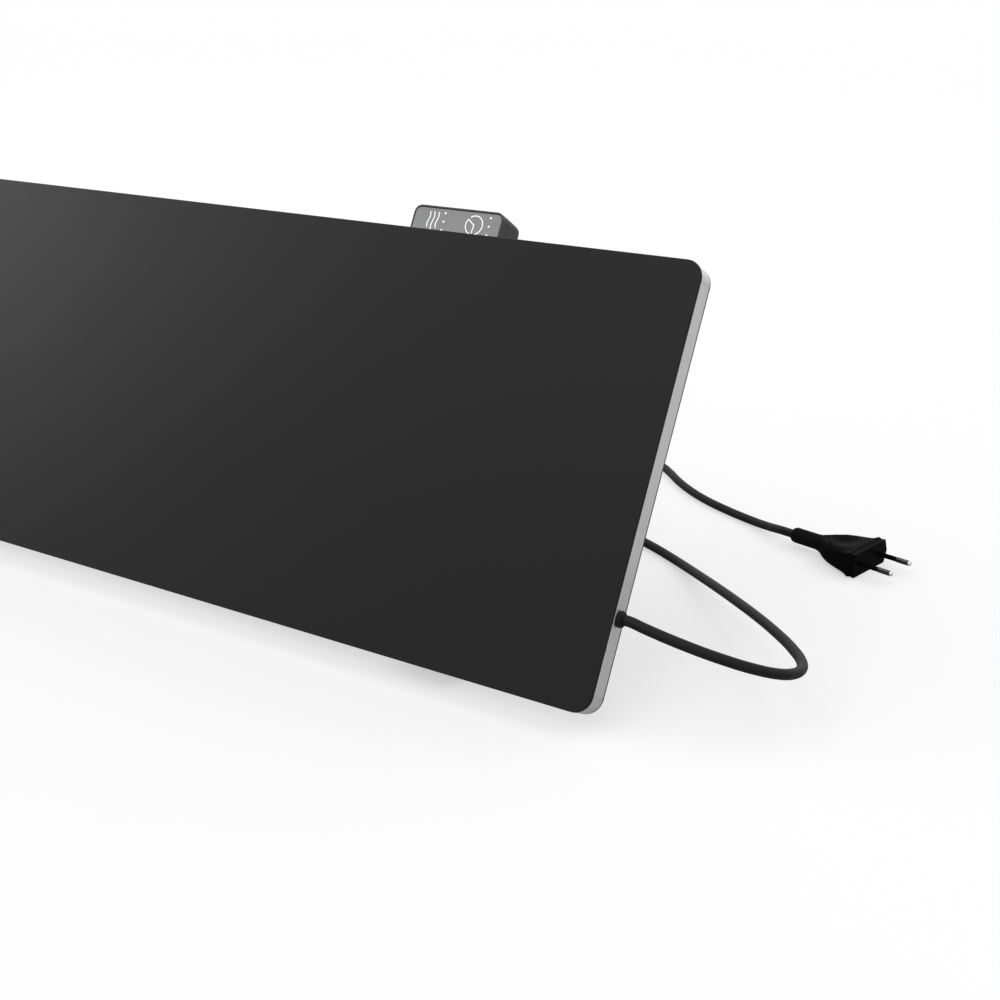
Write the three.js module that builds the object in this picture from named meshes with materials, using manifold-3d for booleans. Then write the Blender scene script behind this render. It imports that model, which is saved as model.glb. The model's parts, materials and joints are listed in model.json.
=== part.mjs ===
// An infrared panel heater: a slim framed panel that leans back on two fold-out legs,
// with a touch control box behind its top edge and a mains lead at its right side.
// Millimetres, +X along the panel, +Y to the back, +Z up, standing on Z = 0.
// Places in the room are counted from the panel's lower front edge, and the finished heater
// is then moved so that its middle stands over the origin.

import * as THREE from 'three';
import { mergeVertices } from 'three/addons/utils/BufferGeometryUtils.js';
import Module from 'manifold-3d';

const wasm = await Module();
wasm.setup();

// Driving dimensions of the whole heater

const panel = { length: 600, height: 200, cornerRadius: 8.4, floorGap: 11.6 };
const leanAngle = THREE.MathUtils.degToRad(29.4);
const leanSin = Math.sin(leanAngle);
const leanCos = Math.cos(leanAngle);
const clearance = 0.3; // between pieces that touch on the real heater
const overrun = 1; // how far a cutter reaches past what it cuts

// Sizes of the panel's own pieces, from the front face to the back

const plate = { thickness: 1.2, bevel: 0.3 };
const frame = { depth: 9.6, wall: 1.4, lipThickness: 1, frontLip: 5, rearLip: 7, keyLength: 14 };
const cover = { thickness: 0.7 };
const bead = { leftInset: 120, boxGap: 42.8, edgeInset: 62, width: 9, height: 0.9 };
const film = { thickness: 0.5, sideGap: 0.6 };
const busbar = { width: 8, thickness: 0.3, edgeGap: 3 };
const screw = { headRadius: 3, headHeight: 1.6, shankRadius: 1.5, length: 3.6, cornerInset: 40 };

// The mains lead, its gland and what holds and joins it inside the panel

const cord = { diameter: 4.8, sides: 10, step: 11, exitRun: 7, glandRun: 2 };
const gland = {
  height: 43, depth: 5.8, collarRadius: 3.75, collarLength: 1.3, ringRadius: 3.35, ringLength: 0.9,
  neckRadius: 2.5, shoulderRadius: 2.9, shoulderLength: 1.2, taperLength: 20, taperEndRadius: 2.4,
  round: 0.4,
};
const coil = {
  centreX: 135, centreY: 270, innerRadius: 18, pitch: 5.26, layerHeight: 5.26,
  turns: 7 + 130 / 360, startAngle: THREE.MathUtils.degToRad(-110), stepsPerTurn: 24, sides: 6,
  climbTurns: 0.25,
};
const leadRoute = [
  [312.7, 25.8, 44.9], [330.1, 27.1, 41.3], [346.7, 30.6, 37.5], [358.6, 36, 34],
  [366.1, 42.8, 30.9], [369.9, 50.7, 28.2], [370.4, 59.6, 26.1], [367.1, 69.1, 24.5],
  [357.9, 82.3, 22.9], [344, 98.3, 20.6], [328.5, 114.9, 17.6], [312.4, 131.4, 14.2],
  [295.8, 147.8, 10.7], [279.5, 164, 6.9], [264.7, 178.1, 3.7], [251.1, 188.2, 2.5],
  [234.1, 197.6, 2.5], [214.3, 206.5, 2.5], [193.5, 214.7, 2.5], [173.5, 221.3, 2.5],
  [154.9, 225.4, 2.45],
];
const tailRoute = [
  [143.2, 316.4, 4.7], [156.8, 321.3, 3], [170.5, 322.3, 2.5],
  [183, 317.9, 2.5], [193, 309.4, 2.5], [202.6, 299.6, 2.5], [215.7, 288.3, 2.5],
  [230.9, 278, 2.5], [247.8, 269.3, 2.55], [266.2, 261.2, 2.85], [279.3, 253.9, 4.4],
];
const clamp = { endInset: 18, length: 8, footWidth: 5, thickness: 0.7 };
const terminal = { endInset: 38, length: 20, height: 12, poles: 2, poleRadius: 1.6, poleDepth: 3 };
const wire = { radius: 0.8, count: 4, pitch: 2.05, sides: 8, bend: 3, bendShare: 0.5, bendSteps: 4 };

// The thermal cut-out and the sensor that press on the heating film

const cutout = { x: -60, height: 122, bodyRadius: 8, capRadius: 6, bodyLength: 2.6, capLength: 3 };
const sensor = { x: 60, height: 100, radius: 2, length: 8 };

// The touch control box

const box = {
  endInset: 137.2, width: 51, rise: 15.6, height: 86.6, depth: 17.2, wall: 1.2, radius: 3.9,
  topDrop: 2.2, rearRound: 3, bottomSlope: 9, split: 5.5,
};
const face = { width: 49.4, height: 30, topInset: 1.1, radius: 3, thickness: 1.2, bevel: 0.2 };
const touchSheet = { thickness: 0.3, inset: 1.2 };
const boxFloor = { thickness: 1.5 };
const indicator = { count: 3, spacing: 4.3, topBelowFace: 2.1, pegRadius: 0.7, holeRadius: 1 };
const guideBar = { width: 3, overhang: 0.9, thickness: 1.6 };
const heatDotsX = -7.3;
const timerDotsX = 18.6;
const board = { thickness: 1.6, sideGap: 1.2 };
const boxPost = { radius: 3, sideInset: 6.4, up: 14.5 };
const relay = { width: 15, height: 19, depth: 7, x: -12, up: 50, bevel: 0.8 };
const powerModule = { width: 17, height: 24, depth: 7, x: 10.5, up: 48, bevel: 0.8 };
const capacitor = { radius: 3.4, length: 12, x: -11, up: 26 };
const wireHole = { radius: 5.4, up: 18 };
const grommet = { flange: 1.4, flangeThickness: 0.9, boreRadius: 4.2 };

// The two fold-out legs, their brackets and the fixed front feet

const leg = {
  endInset: 86, hingeDrop: 30, angle: THREE.MathUtils.degToRad(12), width: 24, sheet: 1.4,
  footWidth: 20, frontTop: 4, back: 4, frontBottom: 2.4, eyeRadius: 4.9, eyeBlend: 24, heel: 4.6,
  heelDrop: 1.4,
};
const bracket = {
  sheet: 1.6, earThickness: 2, baseBelow: 24, baseAbove: 14, radius: 3, earRadius: 5,
  earBelow: 12, earAbove: 9,
};
const hingePin = { radius: 2, headRadius: 3.2, headLength: 1.2, standOff: 5.2 };
const rivet = { radius: 2.4, height: 0.8, sideOffset: 7, below: 17.5, above: 10 };
const shoe = { height: 11, wall: 2.6, sole: 2.8, chamfer: 1.6 };
const foot = { width: 28, start: 1, top: 13, backReach: 40, frontSetback: 12 };

// The two-pin flat plug

const plug = {
  faceX: 345.5, faceY: 233.5, heading: THREE.MathUtils.degToRad(-13.5), length: 48,
  halfWidth: 17.65, halfHeight: 6.85, flatHalfWidth: 13, neckRadius: 4.3, ringPoints: 24,
  cornerShare: 1 / 3,
};
// Each ring: along the plug, width, height, how six-sided, and overall scale
const plugSectionShares = [
  [0, 0, 0, 0, 0.78], [0.02, 0, 0, 0, 1], [0.33, 0, 0, 0, 1], [0.4, 0.1, 0.16, 0.1, 1],
  [0.48, 0.32, 0.5, 0.3, 1], [0.58, 0.54, 0.78, 0.5, 1], [0.7, 0.74, 0.9, 0.7, 1],
  [0.8, 0.86, 0.93, 0.85, 1], [0.895, 0.93, 0.93, 1, 1], [0.905, 1, 1, 1, 1], [1, 1, 1, 1, 1],
];
const pin = {
  spacing: 18.6, length: 19, sleeveLength: 10, tipRadius: 1.45, shankRadius: 0.65,
  sleeveInner: 0.95, sleeveOuter: 1.3, tipRound: 0.9, tipSteps: 3,
};
const thumbDish = { along: 29, halfLength: 9.5, halfWidth: 10.5, depth: 1.5, height: 4.5 };

// Places worked out from the sizes

const frameFront = plate.thickness + clearance;
const frameRear = frameFront + frame.depth;
const coverFront = frameRear + clearance;
const coverRear = coverFront + cover.thickness;
const outsideBack = coverRear + clearance;
const filmRear = frameFront + film.thickness;
const busbarFront = filmRear + clearance;
const busbarRear = busbarFront + busbar.thickness;
const boardFront = busbarRear + clearance;
const boardRear = coverFront - clearance;

const rightEnd = panel.length / 2;
const glandEnd = rightEnd + clearance + gland.collarLength + gland.ringLength;
const clampX = rightEnd - clamp.endInset;
const terminalX = rightEnd - terminal.endInset;
const boxX = rightEnd - box.endInset;
const beadRight = boxX - bead.boxGap;
const beadLeft = bead.leftInset - rightEnd;
const legX = rightEnd - leg.endInset;
const hingeHeight = panel.height - leg.hingeDrop;

const boxFront = outsideBack;
const boxRear = boxFront + box.depth;
const boxTop = panel.height + box.rise;
const boxBottom = boxTop - box.height;
const faceTop = boxTop - face.topInset;
const indicatorTop = faceTop - indicator.topBelowFace;
const recessDepth = face.thickness + touchSheet.thickness + 2 * clearance;
const boxCavityFront = boxFront + recessDepth + boxFloor.thickness;
const circuitFront = boxCavityFront + guideBar.thickness + 2 * clearance;
const circuitRear = circuitFront + board.thickness;
const grommetHeight = boxBottom + wireHole.up;

const hingeDepth = outsideBack + bracket.sheet + hingePin.standOff;
const hingeY = roomY(hingeDepth, hingeHeight);
const hingeZ = roomZ(hingeDepth, hingeHeight);
const legLength = hingeZ / Math.cos(leg.angle);
const legEnd = -legLength + shoe.sole + clearance;
const shoeBack = leg.back + clearance + shoe.wall;
const shoeHeelY = hingeY + legLength * Math.sin(leg.angle) + shoeBack / Math.cos(leg.angle);
const middleY = (plate.bevel * leanSin + shoeHeelY) / 2;

// Smoothness of the round forms

const arcSegments = 4;
const roundSegments = 20;
const smallSegments = 12;
const capSegments = 3;

// Materials

const looks = {
  blackCoat: { color: 0x303133, roughness: 0.42, metalness: 0.1 },
  satinSilver: { color: 0xa9abad, roughness: 0.38, metalness: 0.85 },
  castSilver: { color: 0xa4a6a8, roughness: 0.42, metalness: 0.8 },
  darkSteel: { color: 0x3c3d3f, roughness: 0.55, metalness: 0.4 },
  zincSteel: { color: 0xb4b6b8, roughness: 0.35, metalness: 0.9 },
  darkPlastic: { color: 0x3a3b3d, roughness: 0.5, metalness: 0 },
  greyFace: { color: 0x8f9091, roughness: 0.3, metalness: 0 },
  rubber: { color: 0x1d1d1e, roughness: 0.85, metalness: 0 },
  cordBlack: { color: 0x252526, roughness: 0.5, metalness: 0 },
  copper: { color: 0xb87348, roughness: 0.35, metalness: 1 },
  carbonFilm: { color: 0x1b1c1e, roughness: 0.6, metalness: 0 },
  fibreBoard: { color: 0xd8d2c2, roughness: 0.95, metalness: 0 },
  whiteNylon: { color: 0xe4e4df, roughness: 0.5, metalness: 0 },
  clearAcrylic: { color: 0xeef0f0, roughness: 0.15, metalness: 0 },
  greenBoard: { color: 0x2a5b3c, roughness: 0.5, metalness: 0 },
  nickelPin: { color: 0xd6d7d8, roughness: 0.18, metalness: 1 },
};

// Booleans on closed meshes

function solidOf(geometry) {
  const bare = geometry.clone();
  bare.deleteAttribute('normal');
  bare.deleteAttribute('uv');
  const merged = mergeVertices(bare);
  const mesh = new wasm.Mesh({
    numProp: 3,
    vertProperties: new Float32Array(merged.attributes.position.array),
    triVerts: new Uint32Array(merged.index.array),
  });
  return new wasm.Manifold(mesh);
}

function geometryOf(solid) {
  const mesh = solid.getMesh();
  const geometry = new THREE.BufferGeometry();
  geometry.setAttribute('position', new THREE.BufferAttribute(mesh.vertProperties, 3));
  geometry.setIndex(new THREE.BufferAttribute(mesh.triVerts, 1));
  geometry.computeVertexNormals();
  return geometry;
}

function cut(base, ...cutters) {
  let solid = solidOf(base);
  for (const cutter of cutters) {
    solid = solid.subtract(solidOf(cutter));
  }
  return geometryOf(solid);
}

function join(...pieces) {
  let solid = solidOf(pieces[0]);
  for (const piece of pieces.slice(1)) {
    solid = solid.add(solidOf(piece));
  }
  return geometryOf(solid);
}

function common(first, second) {
  return geometryOf(solidOf(first).intersect(solidOf(second)));
}

// Outlines

function roundedRectangle(left, bottom, width, height, radius) {
  const right = left + width;
  const top = bottom + height;
  const shape = new THREE.Shape();
  shape.moveTo(left + radius, bottom);
  shape.lineTo(right - radius, bottom);
  shape.absarc(right - radius, bottom + radius, radius, -Math.PI / 2, 0);
  shape.lineTo(right, top - radius);
  shape.absarc(right - radius, top - radius, radius, 0, Math.PI / 2);
  shape.lineTo(left + radius, top);
  shape.absarc(left + radius, top - radius, radius, Math.PI / 2, Math.PI);
  shape.lineTo(left, bottom + radius);
  shape.absarc(left + radius, bottom + radius, radius, Math.PI, Math.PI * 1.5);
  return shape;
}

function polygon(points) {
  return new THREE.Shape(points.map(([x, y]) => new THREE.Vector2(x, y)));
}

// Extrusions: slab goes from front to back (outline in x and height), bar goes along X
// (outline in depth and height), post goes up (outline in x and depth)

function slab(shape, near, far, bevel = 0) {
  const geometry = new THREE.ExtrudeGeometry(shape, {
    depth: far - near - 2 * bevel,
    curveSegments: arcSegments,
    bevelEnabled: bevel > 0,
    bevelThickness: bevel,
    bevelSize: bevel,
    bevelOffset: -bevel,
    bevelSegments: 1,
  });
  geometry.rotateX(Math.PI / 2);
  geometry.translate(0, far - bevel, 0);
  return geometry;
}

function bar(shape, from, to) {
  const geometry = new THREE.ExtrudeGeometry(shape, {
    depth: to - from,
    curveSegments: arcSegments,
    bevelEnabled: false,
  });
  const axes = new THREE.Matrix4().makeBasis(
    new THREE.Vector3(0, 1, 0),
    new THREE.Vector3(0, 0, 1),
    new THREE.Vector3(1, 0, 0),
  );
  geometry.applyMatrix4(axes);
  geometry.translate(from, 0, 0);
  return geometry;
}

function post(shape, from, to) {
  const geometry = new THREE.ExtrudeGeometry(shape, {
    depth: to - from,
    curveSegments: arcSegments,
    bevelEnabled: false,
  });
  geometry.translate(0, 0, from);
  return geometry;
}

function block(xFrom, xTo, yFrom, yTo, zFrom, zTo) {
  const geometry = new THREE.BoxGeometry(xTo - xFrom, yTo - yFrom, zTo - zFrom);
  geometry.translate((xFrom + xTo) / 2, (yFrom + yTo) / 2, (zFrom + zTo) / 2);
  return geometry;
}

// A closed tube through points: its rings stand square to the way and don't twist

function tubeThrough(points, radius, sides) {
  const positions = [];
  let above = new THREE.Vector3(0, 0, 1);
  points.forEach((point, index) => {
    const before = points[Math.max(index - 1, 0)];
    const after = points[Math.min(index + 1, points.length - 1)];
    const ahead = after.clone().sub(before).normalize();
    above = above.clone().addScaledVector(ahead, -above.dot(ahead)).normalize();
    const across = ahead.clone().cross(above);
    for (let side = 0; side < sides; side += 1) {
      const angle = side * 2 * Math.PI / sides;
      const vertex = point.clone()
        .addScaledVector(above, radius * Math.cos(angle))
        .addScaledVector(across, radius * Math.sin(angle));
      positions.push(vertex.x, vertex.y, vertex.z);
    }
  });
  return closedRings(positions, points.length, sides);
}

// Rings of equal count, joined by side faces and closed by a flat cap at each end

function closedRings(positions, rings, count) {
  const indices = [];
  for (let ring = 0; ring < rings - 1; ring += 1) {
    for (let index = 0; index < count; index += 1) {
      const a = ring * count + index;
      const b = ring * count + (index + 1) % count;
      indices.push(a, b, a + count, b, b + count, a + count);
    }
  }
  const last = (rings - 1) * count;
  for (let index = 1; index < count - 1; index += 1) {
    indices.push(0, index + 1, index, last, last + index, last + index + 1);
  }
  const geometry = new THREE.BufferGeometry();
  geometry.setAttribute('position', new THREE.Float32BufferAttribute(positions, 3));
  geometry.setIndex(indices);
  geometry.computeVertexNormals();
  return geometry;
}

// A turned piece: profile points are [distance along the axis, radius]

function turned(profile, direction, segments = roundSegments) {
  const points = profile.map(([along, radius]) => new THREE.Vector2(radius, along));
  const geometry = new THREE.LatheGeometry(points, segments);
  const turn = new THREE.Quaternion().setFromUnitVectors(new THREE.Vector3(0, 1, 0), direction);
  geometry.applyQuaternion(turn);
  return geometry;
}

const alongX = new THREE.Vector3(1, 0, 0);
const alongY = new THREE.Vector3(0, 1, 0);

function rod(radius, from, to, direction, segments = smallSegments) {
  return turned([[from, 0], [from, radius], [to, radius], [to, 0]], direction, segments);
}

function at(geometry, x, y, z) {
  geometry.translate(x, y, z);
  return geometry;
}

function add(group, name, geometry, look) {
  const mesh = new THREE.Mesh(geometry, new THREE.MeshStandardMaterial(look));
  mesh.name = name;
  group.add(mesh);
}

// The panel's own directions, as places in the room

function roomY(depth, height) {
  return height * leanSin + depth * leanCos;
}

function roomZ(depth, height) {
  return panel.floorGap + height * leanCos - depth * leanSin;
}

function panelDepth(y, z) {
  return y * leanCos - (z - panel.floorGap) * leanSin;
}

function panelHeight(y, z) {
  return y * leanSin + (z - panel.floorGap) * leanCos;
}

// Front plate: the coated radiating face

function frontPlate() {
  const outline = roundedRectangle(
    -panel.length / 2, 0, panel.length, panel.height, panel.cornerRadius,
  );
  return slab(outline, 0, plate.thickness, plate.bevel);
}

// Frame: four channel profiles joined by solid corner pieces with keys

function channelOutline(place) {
  const innerFront = frameFront + frame.lipThickness;
  const innerRear = frameRear - frame.lipThickness;
  const points = [
    [0, frameFront],
    [frame.frontLip, frameFront],
    [frame.frontLip, innerFront],
    [frame.wall, innerFront],
    [frame.wall, innerRear],
    [frame.rearLip, innerRear],
    [frame.rearLip, frameRear],
    [0, frameRear],
  ];
  return polygon(points.map(([inward, depth]) => place(inward, depth)));
}

function longProfile(top) {
  const outline = channelOutline((inward, depth) => [
    depth,
    top ? panel.height - inward : inward,
  ]);
  const half = panel.length / 2 - panel.cornerRadius - clearance;
  const profile = bar(outline, -half, half);
  const holes = screwColumns().map((x) => coverHole(x, top));
  return cut(profile, ...holes);
}

function sideProfile(side) {
  const outline = channelOutline((inward, depth) => [side * (panel.length / 2 - inward), depth]);
  const from = panel.cornerRadius + clearance;
  return post(outline, from, panel.height - from);
}

function rightProfile() {
  const outside = panel.length / 2;
  const hole = rod(
    gland.neckRadius + clearance, outside - frame.wall - overrun, outside + overrun, alongX,
    roundSegments,
  );
  return cut(sideProfile(1), at(hole, 0, gland.depth, gland.height));
}

function frameCorner(side, top) {
  const radius = panel.cornerRadius;
  const sector = new THREE.Shape();
  sector.moveTo(0, 0);
  sector.lineTo(radius, 0);
  sector.absarc(0, 0, radius, 0, Math.PI / 2);
  const keyFrom = frame.wall + clearance;
  const keyTo = frame.frontLip;
  const keyNear = frameFront + frame.lipThickness + clearance;
  const keyFar = frameRear - frame.lipThickness - clearance;
  const outward = radius - keyFrom;
  const inward = radius - keyTo;
  const geometry = join(
    slab(sector, frameFront, frameRear),
    block(-frame.keyLength, frame.wall, keyNear, keyFar, inward, outward),
    block(inward, outward, keyNear, keyFar, -frame.keyLength, frame.wall),
  );
  const quarter = { right_top: 0, left_top: 1, left_bottom: 2, right_bottom: 3 };
  const key = `${side > 0 ? 'right' : 'left'}_${top ? 'top' : 'bottom'}`;
  geometry.rotateY(-quarter[key] * Math.PI / 2);
  const x = side * (panel.length / 2 - radius);
  const z = top ? panel.height - radius : radius;
  return at(geometry, x, 0, z);
}

// Rear cover, its beads and its screws

function screwColumns() {
  const outer = panel.length / 2 - screw.cornerInset;
  return [-outer, 0, outer];
}

function screwRow(top) {
  const inset = (frame.wall + frame.rearLip) / 2;
  return top ? panel.height - inset : inset;
}

function coverHole(x, top) {
  const hole = rod(
    screw.shankRadius + clearance, frameRear - frame.lipThickness - overrun,
    outsideBack + overrun, alongY,
  );
  return at(hole, x, 0, screwRow(top));
}

function coverScrew(x, top) {
  const seat = outsideBack;
  const dome = screw.headHeight / 2;
  const profile = [
    [seat - screw.length, 0],
    [seat - screw.length, screw.shankRadius],
    [seat, screw.shankRadius],
    [seat, screw.headRadius],
    [seat + dome, screw.headRadius],
    [seat + screw.headHeight, screw.headRadius - dome],
    [seat + screw.headHeight, 0],
  ];
  return at(turned(profile, alongY, smallSegments), x, 0, screwRow(top));
}

function beadForm(grow, near, far) {
  const width = bead.width + 2 * grow;
  const length = beadRight - beadLeft + 2 * grow;
  const outline = roundedRectangle(beadLeft - grow, -width / 2, length, width, width / 2);
  return slab(outline, near, far);
}

function rearCover() {
  const outline = roundedRectangle(
    -panel.length / 2, 0, panel.length, panel.height, panel.cornerRadius,
  );
  const sheet = slab(outline, coverFront, coverRear);
  const beads = [];
  const grooves = [];
  for (const height of [bead.edgeInset, panel.height - bead.edgeInset]) {
    const ridge = beadForm(0, coverFront, coverRear + bead.height);
    const hollow = beadForm(-cover.thickness, coverFront - overrun, coverFront + bead.height);
    beads.push(at(ridge, 0, 0, height));
    grooves.push(at(hollow, 0, 0, height));
  }
  const holes = [];
  for (const x of screwColumns()) {
    holes.push(coverHole(x, false), coverHole(x, true));
  }
  const wirePassage = rod(
    wireHole.radius, coverFront - overrun, coverRear + overrun, alongY, roundSegments,
  );
  holes.push(at(wirePassage, boxX, 0, grommetHeight));
  return cut(join(sheet, ...beads), ...grooves, ...holes);
}

// What the panel holds: heating film, busbars and insulation board.
// The sheets have rounded corners that pass the solid corner pieces of the frame.

function innerSheetOutline(inset) {
  const radius = (panel.cornerRadius + clearance - inset) / (1 - Math.SQRT1_2);
  return roundedRectangle(
    inset - panel.length / 2, inset, panel.length - 2 * inset, panel.height - 2 * inset, radius,
  );
}

function heatingFilm() {
  const outline = innerSheetOutline(frame.frontLip + film.sideGap);
  return slab(outline, frameFront, filmRear);
}

function busbarStrip(top) {
  const inset = frame.rearLip + busbar.edgeGap;
  const bottom = top ? panel.height - inset - busbar.width : inset;
  const half = panel.length / 2 - inset - busbar.edgeGap;
  return block(-half, half, busbarFront, busbarRear, bottom, bottom + busbar.width);
}

function insulationBoard() {
  const outline = innerSheetOutline(frame.rearLip + film.sideGap);
  const near = boardFront - overrun;
  const far = boardRear + overrun;
  const lanes = wire.count * wire.pitch / 2 + clearance;
  const entryHalf = Math.max(terminal.height / 2, clampHalfHeight()) + clearance;
  const cordWindow = block(
    boxX - lanes, panel.length / 2, near, far,
    gland.height - entryHalf, gland.height + entryHalf,
  );
  const riser = block(
    boxX - lanes, boxX + lanes, near, far,
    frame.rearLip + busbar.edgeGap, grommetHeight,
  );
  const feeder = block(
    cutout.x, boxX, near, far,
    cutout.height - wire.bend, cutout.height + wire.bend,
  );
  const cutoutHole = rod(cutout.bodyRadius + clearance, near, far, alongY, roundSegments);
  const sensorHole = rod(sensor.length, near, far, alongY, roundSegments);
  const grommetRoom = rod(
    wireHole.radius + grommet.flange + clearance, near, far, alongY, roundSegments,
  );
  return cut(
    slab(outline, boardFront, boardRear),
    cordWindow,
    riser,
    feeder,
    at(cutoutHole, cutout.x, 0, cutout.height),
    at(sensorHole, sensor.x, 0, sensor.height),
    at(grommetRoom, boxX, 0, grommetHeight),
  );
}

function thermalCutout() {
  const near = filmRear + clearance;
  const middle = near + cutout.bodyLength;
  const profile = [
    [near, 0],
    [near, cutout.capRadius],
    [near + clearance, cutout.bodyRadius],
    [middle, cutout.bodyRadius],
    [middle, cutout.capRadius],
    [middle + cutout.capLength, cutout.capRadius],
    [middle + cutout.capLength, 0],
  ];
  return at(turned(profile, alongY), cutout.x, 0, cutout.height);
}

function temperatureSensor() {
  const capsule = new THREE.CapsuleGeometry(
    sensor.radius, sensor.length - 2 * sensor.radius, capSegments, smallSegments,
  );
  capsule.rotateZ(Math.PI / 2);
  return at(capsule, sensor.x, filmRear + clearance + sensor.radius, sensor.height);
}

// Cord entry: gland, clamp and terminal block

function cableGland() {
  const wallOutside = panel.length / 2 + clearance;
  const wallInside = panel.length / 2 - frame.wall - clearance;
  const shoulderEnd = wallInside - gland.shoulderLength;
  const collarEnd = wallOutside + gland.collarLength;
  const profile = [
    [shoulderEnd - gland.taperLength, 0],
    [shoulderEnd - gland.taperLength, gland.taperEndRadius],
    [shoulderEnd, gland.neckRadius],
    [shoulderEnd, gland.shoulderRadius],
    [wallInside, gland.shoulderRadius],
    [wallInside, gland.neckRadius],
    [wallOutside, gland.neckRadius],
    [wallOutside, gland.collarRadius],
    [collarEnd - gland.round, gland.collarRadius],
    [collarEnd, gland.collarRadius - gland.round],
    [collarEnd, gland.ringRadius],
    [glandEnd - gland.round, gland.ringRadius],
    [glandEnd, gland.ringRadius - gland.round],
    [glandEnd, 0],
  ];
  return at(turned(profile, alongX), 0, gland.depth, gland.height);
}

function clampHalfHeight() {
  return gland.neckRadius + clearance + clamp.thickness + clamp.footWidth;
}

function cordClamp() {
  const bore = gland.neckRadius + clearance;
  const outer = bore + clamp.thickness;
  const seat = boardRear - gland.depth;
  const half = clampHalfHeight();
  const saddle = join(
    rod(outer, 0, clamp.length, alongX, roundSegments),
    block(0, clamp.length, 0, seat, -outer, outer),
    block(0, clamp.length, seat - clamp.thickness, seat, -half, half),
  );
  const passage = rod(bore, -overrun, clamp.length + overrun, alongX, roundSegments);
  const start = clampX - clamp.length / 2;
  return at(cut(saddle, passage), start, gland.depth, gland.height);
}

function poleHeight(pole) {
  return gland.height + ((pole + 1) / (terminal.poles + 1) - 1 / 2) * terminal.height;
}

function terminalBlock() {
  const left = terminalX - terminal.length / 2;
  const bottom = gland.height - terminal.height / 2;
  const body = block(
    left, left + terminal.length, busbarRear + clearance, boardRear,
    bottom, bottom + terminal.height,
  );
  const sockets = [];
  for (let pole = 0; pole < terminal.poles; pole += 1) {
    const socket = rod(
      terminal.poleRadius, left - overrun, left + terminal.poleDepth, alongX,
    );
    sockets.push(at(socket, 0, gland.depth, poleHeight(pole)));
  }
  return cut(body, ...sockets);
}

// Inner wires, clipped along the channels of the insulation board

function laneX(lane) {
  return boxX + (lane - (wire.count - 1) / 2) * wire.pitch;
}

function wireAlong(places) {
  const corners = places.map(([x, depth, height]) => new THREE.Vector3(x, depth, height));
  const points = [corners[0]];
  for (let index = 1; index < corners.length - 1; index += 1) {
    const corner = corners[index];
    const toBefore = corners[index - 1].clone().sub(corner);
    const toAfter = corners[index + 1].clone().sub(corner);
    const entry = corner.clone().add(toBefore.clampLength(0, toBefore.length() * wire.bendShare));
    const leave = corner.clone().add(toAfter.clampLength(0, toAfter.length() * wire.bendShare));
    entry.sub(corner).clampLength(0, wire.bend).add(corner);
    leave.sub(corner).clampLength(0, wire.bend).add(corner);
    points.push(...new THREE.QuadraticBezierCurve3(entry, corner, leave).getPoints(wire.bendSteps));
  }
  points.push(corners[corners.length - 1]);
  return tubeThrough(points, wire.radius, wire.sides);
}

// The stretch that all wires share: from the circuit board through the grommet
function wireRise(lane) {
  return [
    [laneX(lane), circuitFront - clearance, grommetHeight],
    [laneX(lane), gland.depth, grommetHeight],
  ];
}

function heaterLiveWire() {
  const end = cutout.x + cutout.capRadius + 2 * clearance;
  return wireAlong([
    ...wireRise(0),
    [laneX(0), gland.depth, cutout.height],
    [end, gland.depth, cutout.height],
  ]);
}

function heaterNeutralWire() {
  const solder = frame.rearLip + busbar.edgeGap + busbar.width / 2;
  return wireAlong([
    ...wireRise(1),
    [laneX(1), gland.depth, solder],
    [laneX(1), busbarRear + clearance, solder],
  ]);
}

function supplyWire(pole) {
  const x = laneX(pole + 2);
  const left = terminalX - terminal.length / 2;
  const height = poleHeight(pole);
  return wireAlong([
    ...wireRise(pole + 2),
    [x, gland.depth, height],
    [left + terminal.poleDepth - clearance, gland.depth, height],
  ]);
}

function wireGrommet() {
  const hole = wireHole.radius - clearance;
  const rim = wireHole.radius + grommet.flange;
  const inner = coverFront - clearance;
  const outer = coverRear + clearance;
  const profile = [
    [inner - grommet.flangeThickness, grommet.boreRadius],
    [inner - grommet.flangeThickness, rim],
    [inner, rim],
    [inner, hole],
    [outer, hole],
    [outer, rim],
    [outer + grommet.flangeThickness, rim],
    [outer + grommet.flangeThickness, grommet.boreRadius],
    [inner - grommet.flangeThickness, grommet.boreRadius],
  ];
  return at(turned(profile, alongY), boxX, 0, grommetHeight);
}

// Touch control box: two shells, the grey face and what lies between them

function boxSideOutline(inset) {
  const far = boxRear - inset;
  const top = boxTop - inset;
  const rearTop = top - box.topDrop;
  const bottom = boxBottom + inset;
  const round = box.rearRound - inset;
  const shape = new THREE.Shape();
  shape.moveTo(boxFront, bottom);
  shape.lineTo(far - box.bottomSlope, bottom);
  shape.lineTo(far, bottom + box.bottomSlope);
  shape.lineTo(far, rearTop - round);
  shape.quadraticCurveTo(far, rearTop, far - round, rearTop + box.topDrop * round / box.depth);
  shape.lineTo(boxFront, top);
  return shape;
}

function boxForm(inset, near, far) {
  const left = boxX - box.width / 2 + inset;
  const width = box.width - 2 * inset;
  const height = box.height - 2 * inset;
  const outline = roundedRectangle(left, boxBottom + inset, width, height, box.radius - inset);
  return common(
    slab(outline, near, far),
    bar(boxSideOutline(inset), left - overrun, left + width + overrun),
  );
}

function faceOutline(grow) {
  const left = boxX - face.width / 2 - grow;
  const bottom = faceTop - face.height - grow;
  return roundedRectangle(
    left, bottom, face.width + 2 * grow, face.height + 2 * grow, face.radius + grow,
  );
}

function indicatorPlaces() {
  const places = [];
  for (const x of [heatDotsX, timerDotsX]) {
    for (let index = 0; index < indicator.count; index += 1) {
      places.push([boxX + x, indicatorTop - index * indicator.spacing]);
    }
  }
  return places;
}

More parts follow.
